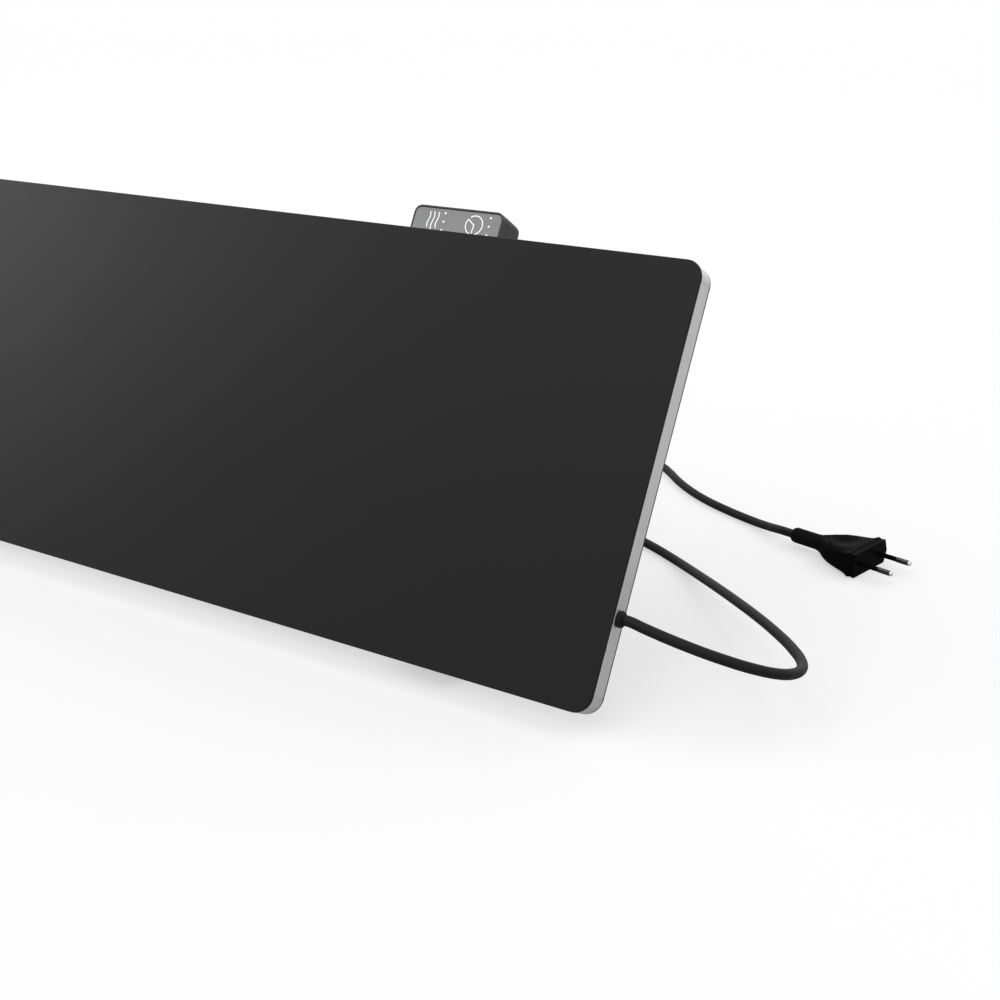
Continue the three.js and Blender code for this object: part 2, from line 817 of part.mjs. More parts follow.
function indicatorHoles(near, far) {
  return indicatorPlaces().map(([x, height]) => {
    return at(rod(indicator.holeRadius, near, far, alongY), x, 0, height);
  });
}

function boxScrewPlaces() {
  const reach = box.width / 2 - boxPost.sideInset;
  const height = boxBottom + boxPost.up;
  return [[boxX - reach, height], [boxX + reach, height]];
}

function controlFace() {
  return slab(faceOutline(0), boxFront, boxFront + face.thickness, face.bevel);
}

function touchSensorSheet() {
  const near = boxFront + face.thickness + clearance;
  const far = near + touchSheet.thickness;
  const sheet = slab(faceOutline(-touchSheet.inset), near, far);
  return cut(sheet, ...indicatorHoles(near - overrun, far + overrun));
}

function controlCaseFront() {
  const shell = boxForm(0, boxFront, boxFront + box.split);
  const hollow = boxForm(box.wall, boxCavityFront, boxFront + box.split + overrun);
  const recess = slab(faceOutline(clearance), boxFront - overrun, boxFront + recessDepth);
  const wirePassage = rod(
    wireHole.radius + grommet.flange + clearance, boxFront - overrun,
    boxCavityFront + overrun, alongY, roundSegments,
  );
  const posts = [];
  const pilots = [];
  for (const [x, height] of boxScrewPlaces()) {
    const foot = boxCavityFront - boxFloor.thickness / 2;
    posts.push(at(rod(boxPost.radius, foot, circuitFront - clearance, alongY), x, 0, height));
    const pilot = rod(screw.shankRadius + clearance, foot, circuitFront + overrun, alongY);
    pilots.push(at(pilot, x, 0, height));
  }
  return cut(
    join(cut(shell, hollow, recess), ...posts),
    ...pilots,
    ...indicatorHoles(boxFront, boxCavityFront + overrun),
    at(wirePassage, boxX, 0, grommetHeight),
  );
}

function controlCaseRear() {
  const shell = boxForm(0, boxFront + box.split + clearance, boxRear);
  const hollow = boxForm(box.wall, boxFront + box.split - overrun, boxRear - box.wall);
  const posts = [];
  const holes = [];
  for (const [x, height] of boxScrewPlaces()) {
    const foot = circuitRear + clearance;
    posts.push(at(rod(boxPost.radius, foot, boxRear - box.wall / 2, alongY), x, 0, height));
    const hole = rod(screw.shankRadius + clearance, foot - overrun, boxRear + overrun, alongY);
    holes.push(at(hole, x, 0, height));
  }
  return cut(join(cut(shell, hollow), ...posts), ...holes);
}

function boxScrew([x, height]) {
  const seat = boxRear + clearance;
  const tip = boxCavityFront;
  const profile = [
    [tip, 0],
    [tip, screw.shankRadius],
    [seat, screw.shankRadius],
    [seat, screw.headRadius],
    [seat + screw.headHeight / 2, screw.headRadius],
    [seat + screw.headHeight, screw.headRadius / 2],
    [seat + screw.headHeight, 0],
  ];
  return at(turned(profile, alongY, smallSegments), x, 0, height);
}

function lightGuide(offset) {
  const x = boxX + offset;
  const near = boxCavityFront + clearance;
  const far = near + guideBar.thickness;
  const low = indicatorTop - (indicator.count - 1) * indicator.spacing - guideBar.overhang;
  const high = indicatorTop + guideBar.overhang;
  const spine = block(x - guideBar.width / 2, x + guideBar.width / 2, near, far, low, high);
  const tip = boxFront + face.thickness + clearance;
  const pegs = [];
  for (let index = 0; index < indicator.count; index += 1) {
    const peg = rod(indicator.pegRadius, tip, (near + far) / 2, alongY);
    pegs.push(at(peg, x, 0, indicatorTop - index * indicator.spacing));
  }
  return join(spine, ...pegs);
}

function circuitBoard() {
  const side = box.wall + board.sideGap;
  const left = boxX - box.width / 2 + side;
  const bottom = boxBottom + side;
  const top = boxTop - side - box.topDrop;
  const outline = roundedRectangle(
    left, bottom, box.width - 2 * side, top - bottom, board.sideGap,
  );
  const holes = boxScrewPlaces().map(([x, height]) => {
    const hole = rod(
      screw.shankRadius + clearance, circuitFront - overrun, circuitRear + overrun, alongY,
    );
    return at(hole, x, 0, height);
  });
  return cut(slab(outline, circuitFront, circuitRear), ...holes);
}

function boardComponent(part) {
  const near = circuitRear + clearance;
  const centre = boxBottom + part.up;
  const outline = roundedRectangle(
    boxX + part.x - part.width / 2, centre - part.height / 2,
    part.width, part.height, part.bevel,
  );
  return slab(outline, near, near + part.depth, part.bevel / 2);
}

function supplyCapacitor() {
  const from = boxX + capacitor.x - capacitor.length / 2;
  const can = rod(capacitor.radius, from, from + capacitor.length, alongX);
  return at(can, 0, circuitRear + clearance + capacitor.radius, boxBottom + capacitor.up);
}

// Leg brackets: a base plate with riveted heads and two ears for the hinge pin

function bracketSide() {
  const axis = hingeDepth;
  const shape = new THREE.Shape();
  shape.moveTo(outsideBack, hingeHeight - bracket.earBelow);
  shape.lineTo(axis, hingeHeight - bracket.earRadius);
  shape.absarc(axis, hingeHeight, bracket.earRadius, -Math.PI / 2, Math.PI / 2);
  shape.lineTo(outsideBack, hingeHeight + bracket.earAbove);
  return shape;
}

function legBracket(side) {
  const centre = side * legX;
  const inner = leg.width / 2 + clearance;
  const outer = inner + bracket.earThickness;
  const plateFar = outsideBack + bracket.sheet;
  const outline = roundedRectangle(
    centre - outer, hingeHeight - bracket.baseBelow,
    2 * outer, bracket.baseBelow + bracket.baseAbove, bracket.radius,
  );
  const pieces = [
    slab(outline, outsideBack, plateFar),
    bar(bracketSide(), centre - outer, centre - inner),
    bar(bracketSide(), centre + inner, centre + outer),
  ];
  for (const across of [-rivet.sideOffset, rivet.sideOffset]) {
    for (const up of [-rivet.below, rivet.above]) {
      const head = rod(rivet.radius, outsideBack, plateFar + rivet.height, alongY);
      pieces.push(at(head, centre + across, 0, hingeHeight + up));
    }
  }
  const pinHole = rod(
    hingePin.radius + clearance, centre - outer - overrun, centre + outer + overrun, alongX,
  );
  return cut(join(...pieces), at(pinHole, 0, hingeDepth, hingeHeight));
}

function pinThroughHinge(side) {
  const reach = leg.width / 2 + 2 * clearance + bracket.earThickness;
  const end = reach + hingePin.headLength;
  const profile = [
    [-end, 0],
    [-end, hingePin.headRadius],
    [-reach, hingePin.headRadius],
    [-reach, hingePin.radius],
    [reach, hingePin.radius],
    [reach, hingePin.headRadius],
    [end, hingePin.headRadius],
    [end, 0],
  ];
  const pinForm = turned(profile, alongX, smallSegments);
  return at(pinForm, side * legX, hingeDepth, hingeHeight);
}

// Fold-out leg, in its own directions: origin on the hinge axis, foot along -Z.
// Its flanges end in a round eye with a flat heel, which meets the bracket when the leg is open.

function legFloor(y) {
  return -legLength - y * Math.tan(leg.angle);
}

function legHalfWidth(z) {
  return THREE.MathUtils.mapLinear(z, 0, -legLength, leg.width / 2, leg.footWidth / 2);
}

function legFront(z) {
  return THREE.MathUtils.mapLinear(z, -leg.eyeBlend, -legLength, leg.frontTop, leg.frontBottom);
}

function legSideOutline() {
  const open = leanAngle + leg.angle;
  const heelX = -leg.eyeRadius * Math.cos(open);
  const heelZ = leg.eyeRadius * Math.sin(open);
  const heelTipX = heelX + leg.heel * Math.sin(open);
  const heelTipZ = heelZ + leg.heel * Math.cos(open);
  const shape = new THREE.Shape();
  shape.moveTo(leg.back, legEnd);
  shape.lineTo(leg.back, heelTipZ - leg.heelDrop);
  shape.lineTo(heelTipX, heelTipZ);
  shape.lineTo(heelX, heelZ);
  shape.absarc(0, 0, leg.eyeRadius, Math.PI - open, Math.PI + leg.angle, false);
  shape.lineTo(-leg.frontTop, -leg.eyeBlend);
  shape.lineTo(-legFront(legEnd), legEnd);
  return shape;
}

function legPlan(inset) {
  const top = leg.width;
  const points = [
    [-legHalfWidth(top) + inset, top],
    [-legHalfWidth(legEnd - overrun) + inset, legEnd - overrun],
    [legHalfWidth(legEnd - overrun) - inset, legEnd - overrun],
    [legHalfWidth(top) - inset, top],
  ];
  return polygon(points);
}

function foldingLeg() {
  const reach = leg.width;
  const body = common(
    bar(legSideOutline(), -reach, reach),
    slab(legPlan(0), -reach, reach),
  );
  const pocketFloor = legEnd + shoe.height;
  const pocket = common(
    slab(legPlan(leg.sheet), -reach, leg.back - leg.sheet),
    block(-reach, reach, -reach, reach, pocketFloor, reach),
  );
  const pinHole = rod(hingePin.radius + clearance, -reach, reach, alongX, roundSegments);
  return cut(body, pocket, pinHole);
}

function legShoe() {
  const top = legEnd + shoe.height;
  const front = -legFront(top) - clearance - shoe.wall;
  const socketSide = legHalfWidth(top) + clearance;
  const side = socketSide + shoe.wall;
  const outline = polygon([
    [front, legFloor(front)],
    [shoeBack, legFloor(shoeBack)],
    [shoeBack, top - shoe.chamfer],
    [shoeBack - shoe.chamfer, top],
    [front + shoe.chamfer / 2, top],
    [front, top - shoe.chamfer / 2],
  ]);
  const socket = block(
    -socketSide, socketSide, front + shoe.wall, shoeBack - shoe.wall,
    legEnd - clearance, top + overrun,
  );
  return cut(bar(outline, -side, side), socket);
}

// Fixed rubber feet under the panel's lower edge

function frontFoot(side) {
  const centre = side * legX;
  const frontY = roomY(outsideBack, foot.start) + foot.frontSetback;
  const topEnd = (foot.backReach - foot.top * leanSin) / leanCos;
  const outline = polygon([
    [outsideBack, foot.start],
    [panelDepth(frontY, 0), panelHeight(frontY, 0)],
    [panelDepth(foot.backReach, 0), panelHeight(foot.backReach, 0)],
    [topEnd, foot.top],
    [outsideBack, foot.top],
  ]);
  return bar(outline, centre - foot.width / 2, centre + foot.width / 2);
}

// Mains lead: two free stretches chosen by hand and the wound coil between them.
// The loops lie in two layers: the first spirals in on the floor, the second out again on it.

function coilPlace(turn) {
  const reversal = coil.turns / 2;
  const radius = coil.innerRadius + coil.pitch * Math.abs(turn - reversal);
  const climb = THREE.MathUtils.smoothstep(
    turn, reversal - coil.climbTurns, reversal + coil.climbTurns,
  );
  const angle = coil.startAngle - turn * 2 * Math.PI;
  return new THREE.Vector3(
    coil.centreX + radius * Math.cos(angle),
    coil.centreY + radius * Math.sin(angle),
    cord.diameter / 2 + coil.layerHeight * climb,
  );
}

function coilEnd(turn, outward) {
  const nearby = 1 / coil.stepsPerTurn;
  const place = coilPlace(turn);
  const direction = place.clone().sub(coilPlace(turn - outward * nearby)).normalize();
  return { place, direction };
}

const coilStart = coilEnd(0, -1);
const coilFinish = coilEnd(coil.turns, 1);

function coilCentreline() {
  const steps = Math.round(coil.turns * coil.stepsPerTurn);
  const points = [coilStart.place.clone().addScaledVector(coilStart.direction, cord.diameter)];
  for (let step = 0; step <= steps; step += 1) {
    points.push(coilPlace(coil.turns * step / steps));
  }
  points.push(coilFinish.place.clone().addScaledVector(coilFinish.direction, cord.diameter));
  return points;
}

function leastGapToItself(points, diameter, skip) {
  let least = Infinity;
  for (let first = 0; first < points.length; first += 1) {
    for (let second = first + skip; second < points.length; second += 1) {
      least = Math.min(least, points[first].distanceTo(points[second]) - diameter);
    }
  }
  return least;
}

function freeCord(points) {
  const path = new THREE.CatmullRomCurve3(points, false, 'centripetal');
  const section = new THREE.Shape();
  section.absarc(0, 0, cord.diameter / 2, 0, Math.PI * 2);
  const geometry = new THREE.ExtrudeGeometry(section, {
    steps: Math.round(path.getLength() / cord.step),
    curveSegments: cord.sides / 2,
    bevelEnabled: false,
    extrudePath: path,
  });
  return { geometry, length: path.getLength() };
}

function routePoints(route) {
  return route.map(([x, y, z]) => new THREE.Vector3(x, y, z));
}

function coilApproach(end) {
  const meeting = end.place.clone().addScaledVector(end.direction, cord.diameter + clearance);
  return [meeting, meeting.clone().addScaledVector(end.direction, cord.exitRun)];
}

function leadPoints() {
  const exit = new THREE.Vector3(
    glandEnd + clearance,
    roomY(gland.depth, gland.height),
    roomZ(gland.depth, gland.height),
  );
  const straight = exit.clone().addScaledVector(alongX, cord.glandRun);
  return [exit, straight, ...routePoints(leadRoute), ...coilApproach(coilStart).reverse()];
}

function tailPoints() {
  const axis = new THREE.Vector3(Math.cos(plug.heading), Math.sin(plug.heading), 0);
  const plugFace = new THREE.Vector3(plug.faceX, plug.faceY, plug.halfHeight);
  const end = plugFace.clone().addScaledVector(axis, -plug.length - clearance);
  const straight = end.clone().addScaledVector(axis, -cord.exitRun);
  return [...coilApproach(coilFinish), ...routePoints(tailRoute), straight, end];
}

// Plug: rings that turn from the round neck to the flat six-sided face

function plugRing(along, widthShare, heightShare, sixSidedShare, scaleShare) {
  const halfWidth = scaleShare * THREE.MathUtils.lerp(plug.neckRadius, plug.halfWidth, widthShare);
  const halfHeight = scaleShare
    * THREE.MathUtils.lerp(plug.neckRadius, plug.halfHeight, heightShare);
  const flat = halfWidth * plug.flatHalfWidth / plug.halfWidth;
  const points = [];
  for (let index = 0; index < plug.ringPoints; index += 1) {
    const angle = index * 2 * Math.PI / plug.ringPoints;
    const quarter = Math.abs(Math.asin(Math.sin(angle))) / (Math.PI / 2);
    const onSide = Math.min(quarter / plug.cornerShare, 1);
    const onTop = Math.max((quarter - plug.cornerShare) / (1 - plug.cornerShare), 0);
    const sixX = THREE.MathUtils.lerp(halfWidth, flat, onSide) - flat * onTop;
    const sixZ = halfHeight * onSide;
    const roundX = halfWidth * Math.cos(quarter * Math.PI / 2);
    const roundZ = halfHeight * Math.sin(quarter * Math.PI / 2);
    const across = THREE.MathUtils.lerp(roundX, sixX, sixSidedShare);
    const up = THREE.MathUtils.lerp(roundZ, sixZ, sixSidedShare);
    const signX = Math.cos(angle) < 0 ? -1 : 1;
    const signZ = Math.sin(angle) < 0 ? -1 : 1;
    points.push([along, signX * across, signZ * up]);
  }
  return points;
}

function plugBody() {
  const rings = plugSectionShares.map(([alongShare, ...shares]) => {
    return plugRing(plug.length * (alongShare - 1), ...shares);
  });
  const geometry = closedRings(rings.flat(2), rings.length, plug.ringPoints);
  const dishes = [-1, 1].map((side) => {
    const dish = new THREE.SphereGeometry(1, roundSegments, smallSegments);
    dish.scale(thumbDish.halfLength, thumbDish.halfWidth, thumbDish.height);
    const centre = plug.halfHeight + thumbDish.height - thumbDish.depth;
    return at(dish, thumbDish.along - plug.length, 0, side * centre);
  });
  return cut(geometry, ...dishes);
}

function plugPin(side) {
  const tipFrom = clearance + pin.sleeveLength + clearance;
  const profile = [
    [clearance, 0],
    [clearance, pin.shankRadius],
    [tipFrom, pin.shankRadius],
    [tipFrom, pin.tipRadius],
  ];
  for (let step = 0; step <= pin.tipSteps; step += 1) {
    const angle = step / pin.tipSteps * Math.PI / 2;
    const along = pin.length - pin.tipRound * (1 - Math.sin(angle));
    profile.push([along, pin.tipRadius - pin.tipRound * (1 - Math.cos(angle))]);
  }
  profile.push([pin.length, 0]);
  return at(turned(profile, alongX, smallSegments), 0, side * pin.spacing / 2, 0);
}

function pinSleeve(side) {
  const from = clearance;
  const to = clearance + pin.sleeveLength;
  const profile = [
    [from, pin.sleeveInner],
    [from, pin.sleeveOuter],
    [to, pin.sleeveOuter],
    [to, pin.sleeveInner],
    [from, pin.sleeveInner],
  ];
  return at(turned(profile, alongX, smallSegments), 0, side * pin.spacing / 2, 0);
}

// Assembly

function addPanel(group) {
  add(group, 'front_plate', frontPlate(), looks.blackCoat);
  add(group, 'frame_top', longProfile(true), looks.satinSilver);
  add(group, 'frame_bottom', longProfile(false), looks.satinSilver);
  add(group, 'frame_left', sideProfile(-1), looks.satinSilver);
  add(group, 'frame_right', rightProfile(), looks.satinSilver);
  for (const [side, sideName] of [[-1, 'left'], [1, 'right']]) {
    add(group, `frame_corner_top_${sideName}`, frameCorner(side, true), looks.castSilver);
    add(group, `frame_corner_bottom_${sideName}`, frameCorner(side, false), looks.castSilver);
  }
  add(group, 'rear_cover', rearCover(), looks.darkSteel);
  screwColumns().forEach((x, index) => {
    add(group, `cover_screw_top_${index + 1}`, coverScrew(x, true), looks.zincSteel);
    add(group, `cover_screw_bottom_${index + 1}`, coverScrew(x, false), looks.zincSteel);
  });
}

function addInnerPieces(group) {
  add(group, 'heating_film', heatingFilm(), looks.carbonFilm);
  add(group, 'busbar_top', busbarStrip(true), looks.copper);
  add(group, 'busbar_bottom', busbarStrip(false), looks.copper);
  add(group, 'insulation_board', insulationBoard(), looks.fibreBoard);
  add(group, 'thermal_cutout', thermalCutout(), looks.zincSteel);
  add(group, 'temperature_sensor', temperatureSensor(), looks.darkPlastic);
  add(group, 'terminal_block', terminalBlock(), looks.whiteNylon);
  add(group, 'cord_clamp', cordClamp(), looks.whiteNylon);
  add(group, 'cable_gland', cableGland(), looks.rubber);
  add(group, 'heater_wire_live', heaterLiveWire(), looks.cordBlack);
  add(group, 'heater_wire_neutral', heaterNeutralWire(), looks.cordBlack);
  add(group, 'supply_wire_live', supplyWire(0), looks.cordBlack);
  add(group, 'supply_wire_neutral', supplyWire(1), looks.cordBlack);
  add(group, 'wire_grommet', wireGrommet(), looks.rubber);
}

function addControlBox(group) {
  add(group, 'control_face', controlFace(), looks.greyFace);
  add(group, 'touch_sensor_sheet', touchSensorSheet(), looks.copper);
  add(group, 'control_case_front', controlCaseFront(), looks.darkPlastic);
  add(group, 'control_case_rear', controlCaseRear(), looks.darkPlastic);
  add(group, 'light_guide_heat', lightGuide(heatDotsX), looks.clearAcrylic);
  add(group, 'light_guide_timer', lightGuide(timerDotsX), looks.clearAcrylic);
  add(group, 'circuit_board', circuitBoard(), looks.greenBoard);
  add(group, 'relay', boardComponent(relay), looks.darkPlastic);
  add(group, 'power_module', boardComponent(powerModule), looks.darkPlastic);
  add(group, 'supply_capacitor', supplyCapacitor(), looks.zincSteel);
  boxScrewPlaces().forEach((place, index) => {
    add(group, `case_screw_${index + 1}`, boxScrew(place), looks.zincSteel);
  });
}

function addStand(group, side, sideName) {
  add(group, `leg_bracket_${sideName}`, legBracket(side), looks.darkSteel);
  add(group, `hinge_pin_${sideName}`, pinThroughHinge(side), looks.zincSteel);
  add(group, `front_foot_${sideName}`, frontFoot(side), looks.rubber);
}

function legGroup(side, sideName) {
  const group = new THREE.Group();
  add(group, `leg_${sideName}`, foldingLeg(), looks.darkSteel);
  add(group, `leg_shoe_${sideName}`, legShoe(), looks.rubber);
  group.position.set(side * legX, hingeY, hingeZ);
  group.rotation.x = leg.angle;
  return group;
}

function addMainsLead(group) {
  const lead = freeCord(leadPoints());
  const tail = freeCord(tailPoints());
  const turns = coilCentreline();
  const halfTurn = Math.round(coil.stepsPerTurn / 2);
  const gap = leastGapToItself(turns, cord.diameter, halfTurn);
  const coilLength = new THREE.CatmullRomCurve3(turns).getLength();
  console.log(`least gap of the coil to itself: ${gap.toFixed(3)} mm`);
  const lengths = [lead.length, coilLength, tail.length].map((length) => length.toFixed(1));
  console.log(`lead, coil and tail: ${lengths.join(', ')} mm`);
  add(group, 'cord_lead', lead.geometry, looks.cordBlack);
  add(group, 'cord_coil', tubeThrough(turns, cord.diameter / 2, coil.sides), looks.cordBlack);
  add(group, 'cord_tail', tail.geometry, looks.cordBlack);
}

function plugGroup() {
  const group = new THREE.Group();
  add(group, 'plug_body', plugBody(), looks.cordBlack);
  for (const [side, number] of [[1, 1], [-1, 2]]) {
    add(group, `plug_pin_${number}`, plugPin(side), looks.nickelPin);
    add(group, `pin_sleeve_${number}`, pinSleeve(side), looks.cordBlack);
  }
  group.position.set(plug.faceX, plug.faceY, plug.halfHeight);
  group.rotation.z = plug.heading;
  return group;
}

// The heater stands in the room with its middle over the origin

const heater = new THREE.Group();
const room = new THREE.Group();
room.position.y = -middleY;
heater.add(room);
const leaningPanel = new THREE.Group();
leaningPanel.position.z = panel.floorGap;
leaningPanel.rotation.x = -leanAngle;
addPanel(leaningPanel);
addInnerPieces(leaningPanel);
addControlBox(leaningPanel);
room.add(leaningPanel);
for (const [side, sideName] of [[-1, 'left'], [1, 'right']]) {
  addStand(leaningPanel, side, sideName);
  room.add(legGroup(side, sideName));
}
addMainsLead(room);
room.add(plugGroup());

export default heater;
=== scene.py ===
"""The looks of the infrared panel heater: detail pieces, materials, light and camera.

Metres, in the same frame as the CAD: +X along the panel, +Y to the back, +Z up.
"""

import json
import math

import bmesh
import bpy
from mathutils import Matrix, Vector

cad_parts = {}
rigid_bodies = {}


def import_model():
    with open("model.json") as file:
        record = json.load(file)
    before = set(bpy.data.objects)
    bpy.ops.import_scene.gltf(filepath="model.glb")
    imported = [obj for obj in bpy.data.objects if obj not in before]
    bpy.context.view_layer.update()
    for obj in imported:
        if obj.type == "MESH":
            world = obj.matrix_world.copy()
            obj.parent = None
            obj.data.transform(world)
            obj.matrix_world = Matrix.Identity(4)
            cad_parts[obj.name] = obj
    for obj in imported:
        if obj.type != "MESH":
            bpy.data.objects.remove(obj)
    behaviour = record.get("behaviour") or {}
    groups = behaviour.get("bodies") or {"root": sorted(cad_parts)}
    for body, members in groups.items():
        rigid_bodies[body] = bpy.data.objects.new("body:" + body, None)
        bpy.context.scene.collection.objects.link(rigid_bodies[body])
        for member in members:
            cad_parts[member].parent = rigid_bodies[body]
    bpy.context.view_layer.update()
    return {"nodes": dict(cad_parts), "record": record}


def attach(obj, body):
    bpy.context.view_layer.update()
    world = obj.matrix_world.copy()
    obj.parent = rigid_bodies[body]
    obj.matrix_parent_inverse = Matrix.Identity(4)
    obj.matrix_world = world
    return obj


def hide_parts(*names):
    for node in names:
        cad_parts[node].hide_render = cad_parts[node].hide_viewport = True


for leftover in list(bpy.data.objects):
    bpy.data.objects.remove(leftover)

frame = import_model()

# Sizes that the CAD source has too, in metres

mm = 0.001
clearance = 0.3 * mm
lean = math.radians(29.4)
floor_gap = 11.6 * mm
middle_y = 69.6628 * mm
right_end = 300 * mm
panel_height = 200 * mm
outside_back = 12.4 * mm
frame_front = 1.5 * mm
frame_depth = 9.6 * mm
frame_wall = 1.4 * mm
corner_radius = 8.4 * mm

gland_height = 43 * mm
gland_depth = 5.8 * mm
gland_collar_radius = 3.75 * mm
gland_collar_length = 1.3 * mm
gland_ring_radius = 3.35 * mm
gland_ring_length = 0.9 * mm
gland_neck_radius = 2.5 * mm
gland_taper_length = 20 * mm
gland_taper_end_radius = 2.4 * mm
gland_end = right_end + clearance + gland_collar_length + gland_ring_length

box_x = right_end - 137.2 * mm
box_width = 51 * mm
box_top = 215.6 * mm
box_height = 86.6 * mm
box_radius = 3.9 * mm
box_wall = 1.2 * mm
box_split = 5.5 * mm
box_top_fall = 2.2 / 17.2
face_top = 214.5 * mm

cord_diameter = 4.8 * mm
cord_exit_run = 7 * mm
cord_gland_run = 2 * mm
coil_x = 135 * mm
coil_y = 270 * mm
coil_inner_radius = 18 * mm
coil_pitch = 5.26 * mm
coil_layer_height = 5.26 * mm
coil_turns = 7 + 130 / 360
coil_start_angle = math.radians(-110)
coil_steps_per_turn = 24
coil_climb_turns = 0.25

plug_face = Vector((345.5, 233.5, 6.85)) * mm
plug_heading = math.radians(-13.5)
plug_length = 48 * mm
plug_half_width = 17.65 * mm
plug_half_height = 6.85 * mm
plug_neck_radius = 4.3 * mm
pin_spacing = 18.6 * mm
pin_length = 19 * mm
pin_radius = 1.45 * mm
pin_shank_radius = 0.65 * mm
sleeve_length = 10 * mm
sleeve_radius = 1.3 * mm
sleeve_bore_radius = 0.95 * mm

# The panel's own directions: x along it, y into its depth and z up its height

leaning = (
    Matrix.Translation((0, -middle_y, floor_gap)) @ Matrix.Rotation(-lean, 4, "X")
)
# The plug's own directions: x out of its face, y across it and z up
plug_frame = (
    Matrix.Translation(plug_face - Vector((0, middle_y, 0)))
    @ Matrix.Rotation(plug_heading, 4, "Z")
)


def room(x, y, z):
    """A place counted from the panel's lower front edge, as in the CAD source."""
    return Vector((x, y - middle_y, z))


# Camera

camera_place = room(0.5392, -0.4588, 0.3102)
camera_azimuth = math.radians(31.58)
camera_fall = math.radians(21.31)
camera_lens = 50.87  # millimetres, as is the sensor
camera_sensor = 36
camera_nearest = 10 * mm
camera_data = bpy.data.cameras.new("camera")
camera_data.sensor_width = camera_sensor
camera_data.lens = camera_lens
camera_data.clip_start = camera_nearest
camera = bpy.data.objects.new("camera", camera_data)
camera.location = camera_place
camera.rotation_euler = (math.pi / 2 - camera_fall, 0, camera_azimuth)
bpy.context.scene.collection.objects.link(camera)
bpy.context.scene.camera = camera

# The mains lead: its route from the gland to the coil and from the coil to the plug

lead_route = [
    (0.3127, 0.0258, 0.0449), (0.3301, 0.0271, 0.0413), (0.3467, 0.0306, 0.0375),
    (0.3586, 0.036, 0.034), (0.3659, 0.0428, 0.0309), (0.3693, 0.0507, 0.0282),
    (0.3698, 0.0596, 0.0261), (0.3669, 0.0691, 0.0245), (0.3579, 0.0823, 0.0229),
    (0.344, 0.0983, 0.0206), (0.3285, 0.1149, 0.0176), (0.3124, 0.1314, 0.0142),
    (0.2958, 0.1478, 0.0107), (0.2795, 0.164, 0.0069), (0.2647, 0.1781, 0.0037),
    (0.2511, 0.1882, 0.0025), (0.2341, 0.1976, 0.0025), (0.2143, 0.2065, 0.0025),
    (0.1935, 0.2147, 0.0025), (0.1735, 0.2213, 0.0025), (0.1549, 0.2254, 0.00245),
]
tail_route = [
    (0.1432, 0.3163, 0.0047), (0.1568, 0.3209, 0.003), (0.1705, 0.3218, 0.0025),
    (0.183, 0.3179, 0.0025), (0.193, 0.3094, 0.0025), (0.2026, 0.2996, 0.0025),
    (0.2157, 0.2883, 0.0025), (0.2309, 0.278, 0.0025), (0.2478, 0.2693, 0.00255),
    (0.2662, 0.2612, 0.00285), (0.2793, 0.2539, 0.0044),
]


def coil_place(turn):
    """Two layers: the loops spiral in on the floor, and out again on top of them."""
    reversal = coil_turns / 2
    radius = coil_inner_radius + coil_pitch * abs(turn - reversal)
    share = (turn - reversal + coil_climb_turns) / (2 * coil_climb_turns)
    share = min(max(share, 0), 1)
    climb = share * share * (3 - 2 * share)
    angle = coil_start_angle - turn * 2 * math.pi
    return room(
        coil_x + radius * math.cos(angle),
        coil_y + radius * math.sin(angle),
        cord_diameter / 2 + coil_layer_height * climb,
    )


def coil_approach(turn, outward):
    """The straight points just outside the coil's start or end, nearest first."""
    place = coil_place(turn)
    direction = (place - coil_place(turn - outward / coil_steps_per_turn)).normalized()
    meeting = cord_diameter + clearance
    return [place + direction * meeting, place + direction * (meeting + cord_exit_run)]


def cord_points():
    """The whole route: the gland, the free loop, the coil and the run to the plug."""
    exit_place = leaning @ Vector((gland_end + clearance, gland_depth, gland_height))
    points = [exit_place, exit_place + Vector((cord_gland_run, 0, 0))]
    points += [room(*point) for point in lead_route]
    points += reversed(coil_approach(0, -1))
    steps = round(coil_turns * coil_steps_per_turn)
    points += [coil_place(coil_turns * step / steps) for step in range(steps + 1)]
    points += coil_approach(coil_turns, 1)
    points += [room(*point) for point in tail_route]
    plug_back = -plug_length - clearance
    points.append(plug_frame @ Vector((plug_back - cord_exit_run, 0, 0)))
    points.append(plug_frame @ Vector((plug_back, 0, 0)))
    return points


def make_cord():
    """The cord as one smooth curve, and the place where it leaves the gland."""
    points = cord_points()
    curve = bpy.data.curves.new("mains_cord", "CURVE")
    curve.dimensions = "3D"
    curve.bevel_depth = 1
    curve.bevel_resolution = 6
    curve.use_fill_caps = True
    curve.resolution_u = 6
    spline = curve.splines.new("BEZIER")
    spline.bezier_points.add(len(points) - 1)
    for knot, point in zip(spline.bezier_points, points):
        knot.co = point
        knot.radius = cord_diameter / 2
        knot.handle_left_type = "AUTO"
        knot.handle_right_type = "AUTO"
    cord = bpy.data.objects.new("mains_cord", curve)
    bpy.context.scene.collection.objects.link(cord)
    return cord, points[0]


cord, cord_exit = make_cord()
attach(cord, "panel")
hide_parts("cord_lead", "cord_coil", "cord_tail")


# Helpers for building pieces


def new_piece(name, mesh, matrix, body="panel"):
    """A new object that rides on a body."""
    piece = bpy.data.objects.new(name, mesh)
    bpy.context.scene.collection.objects.link(piece)
    piece.matrix_world = matrix
    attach(piece, body)
    return piece


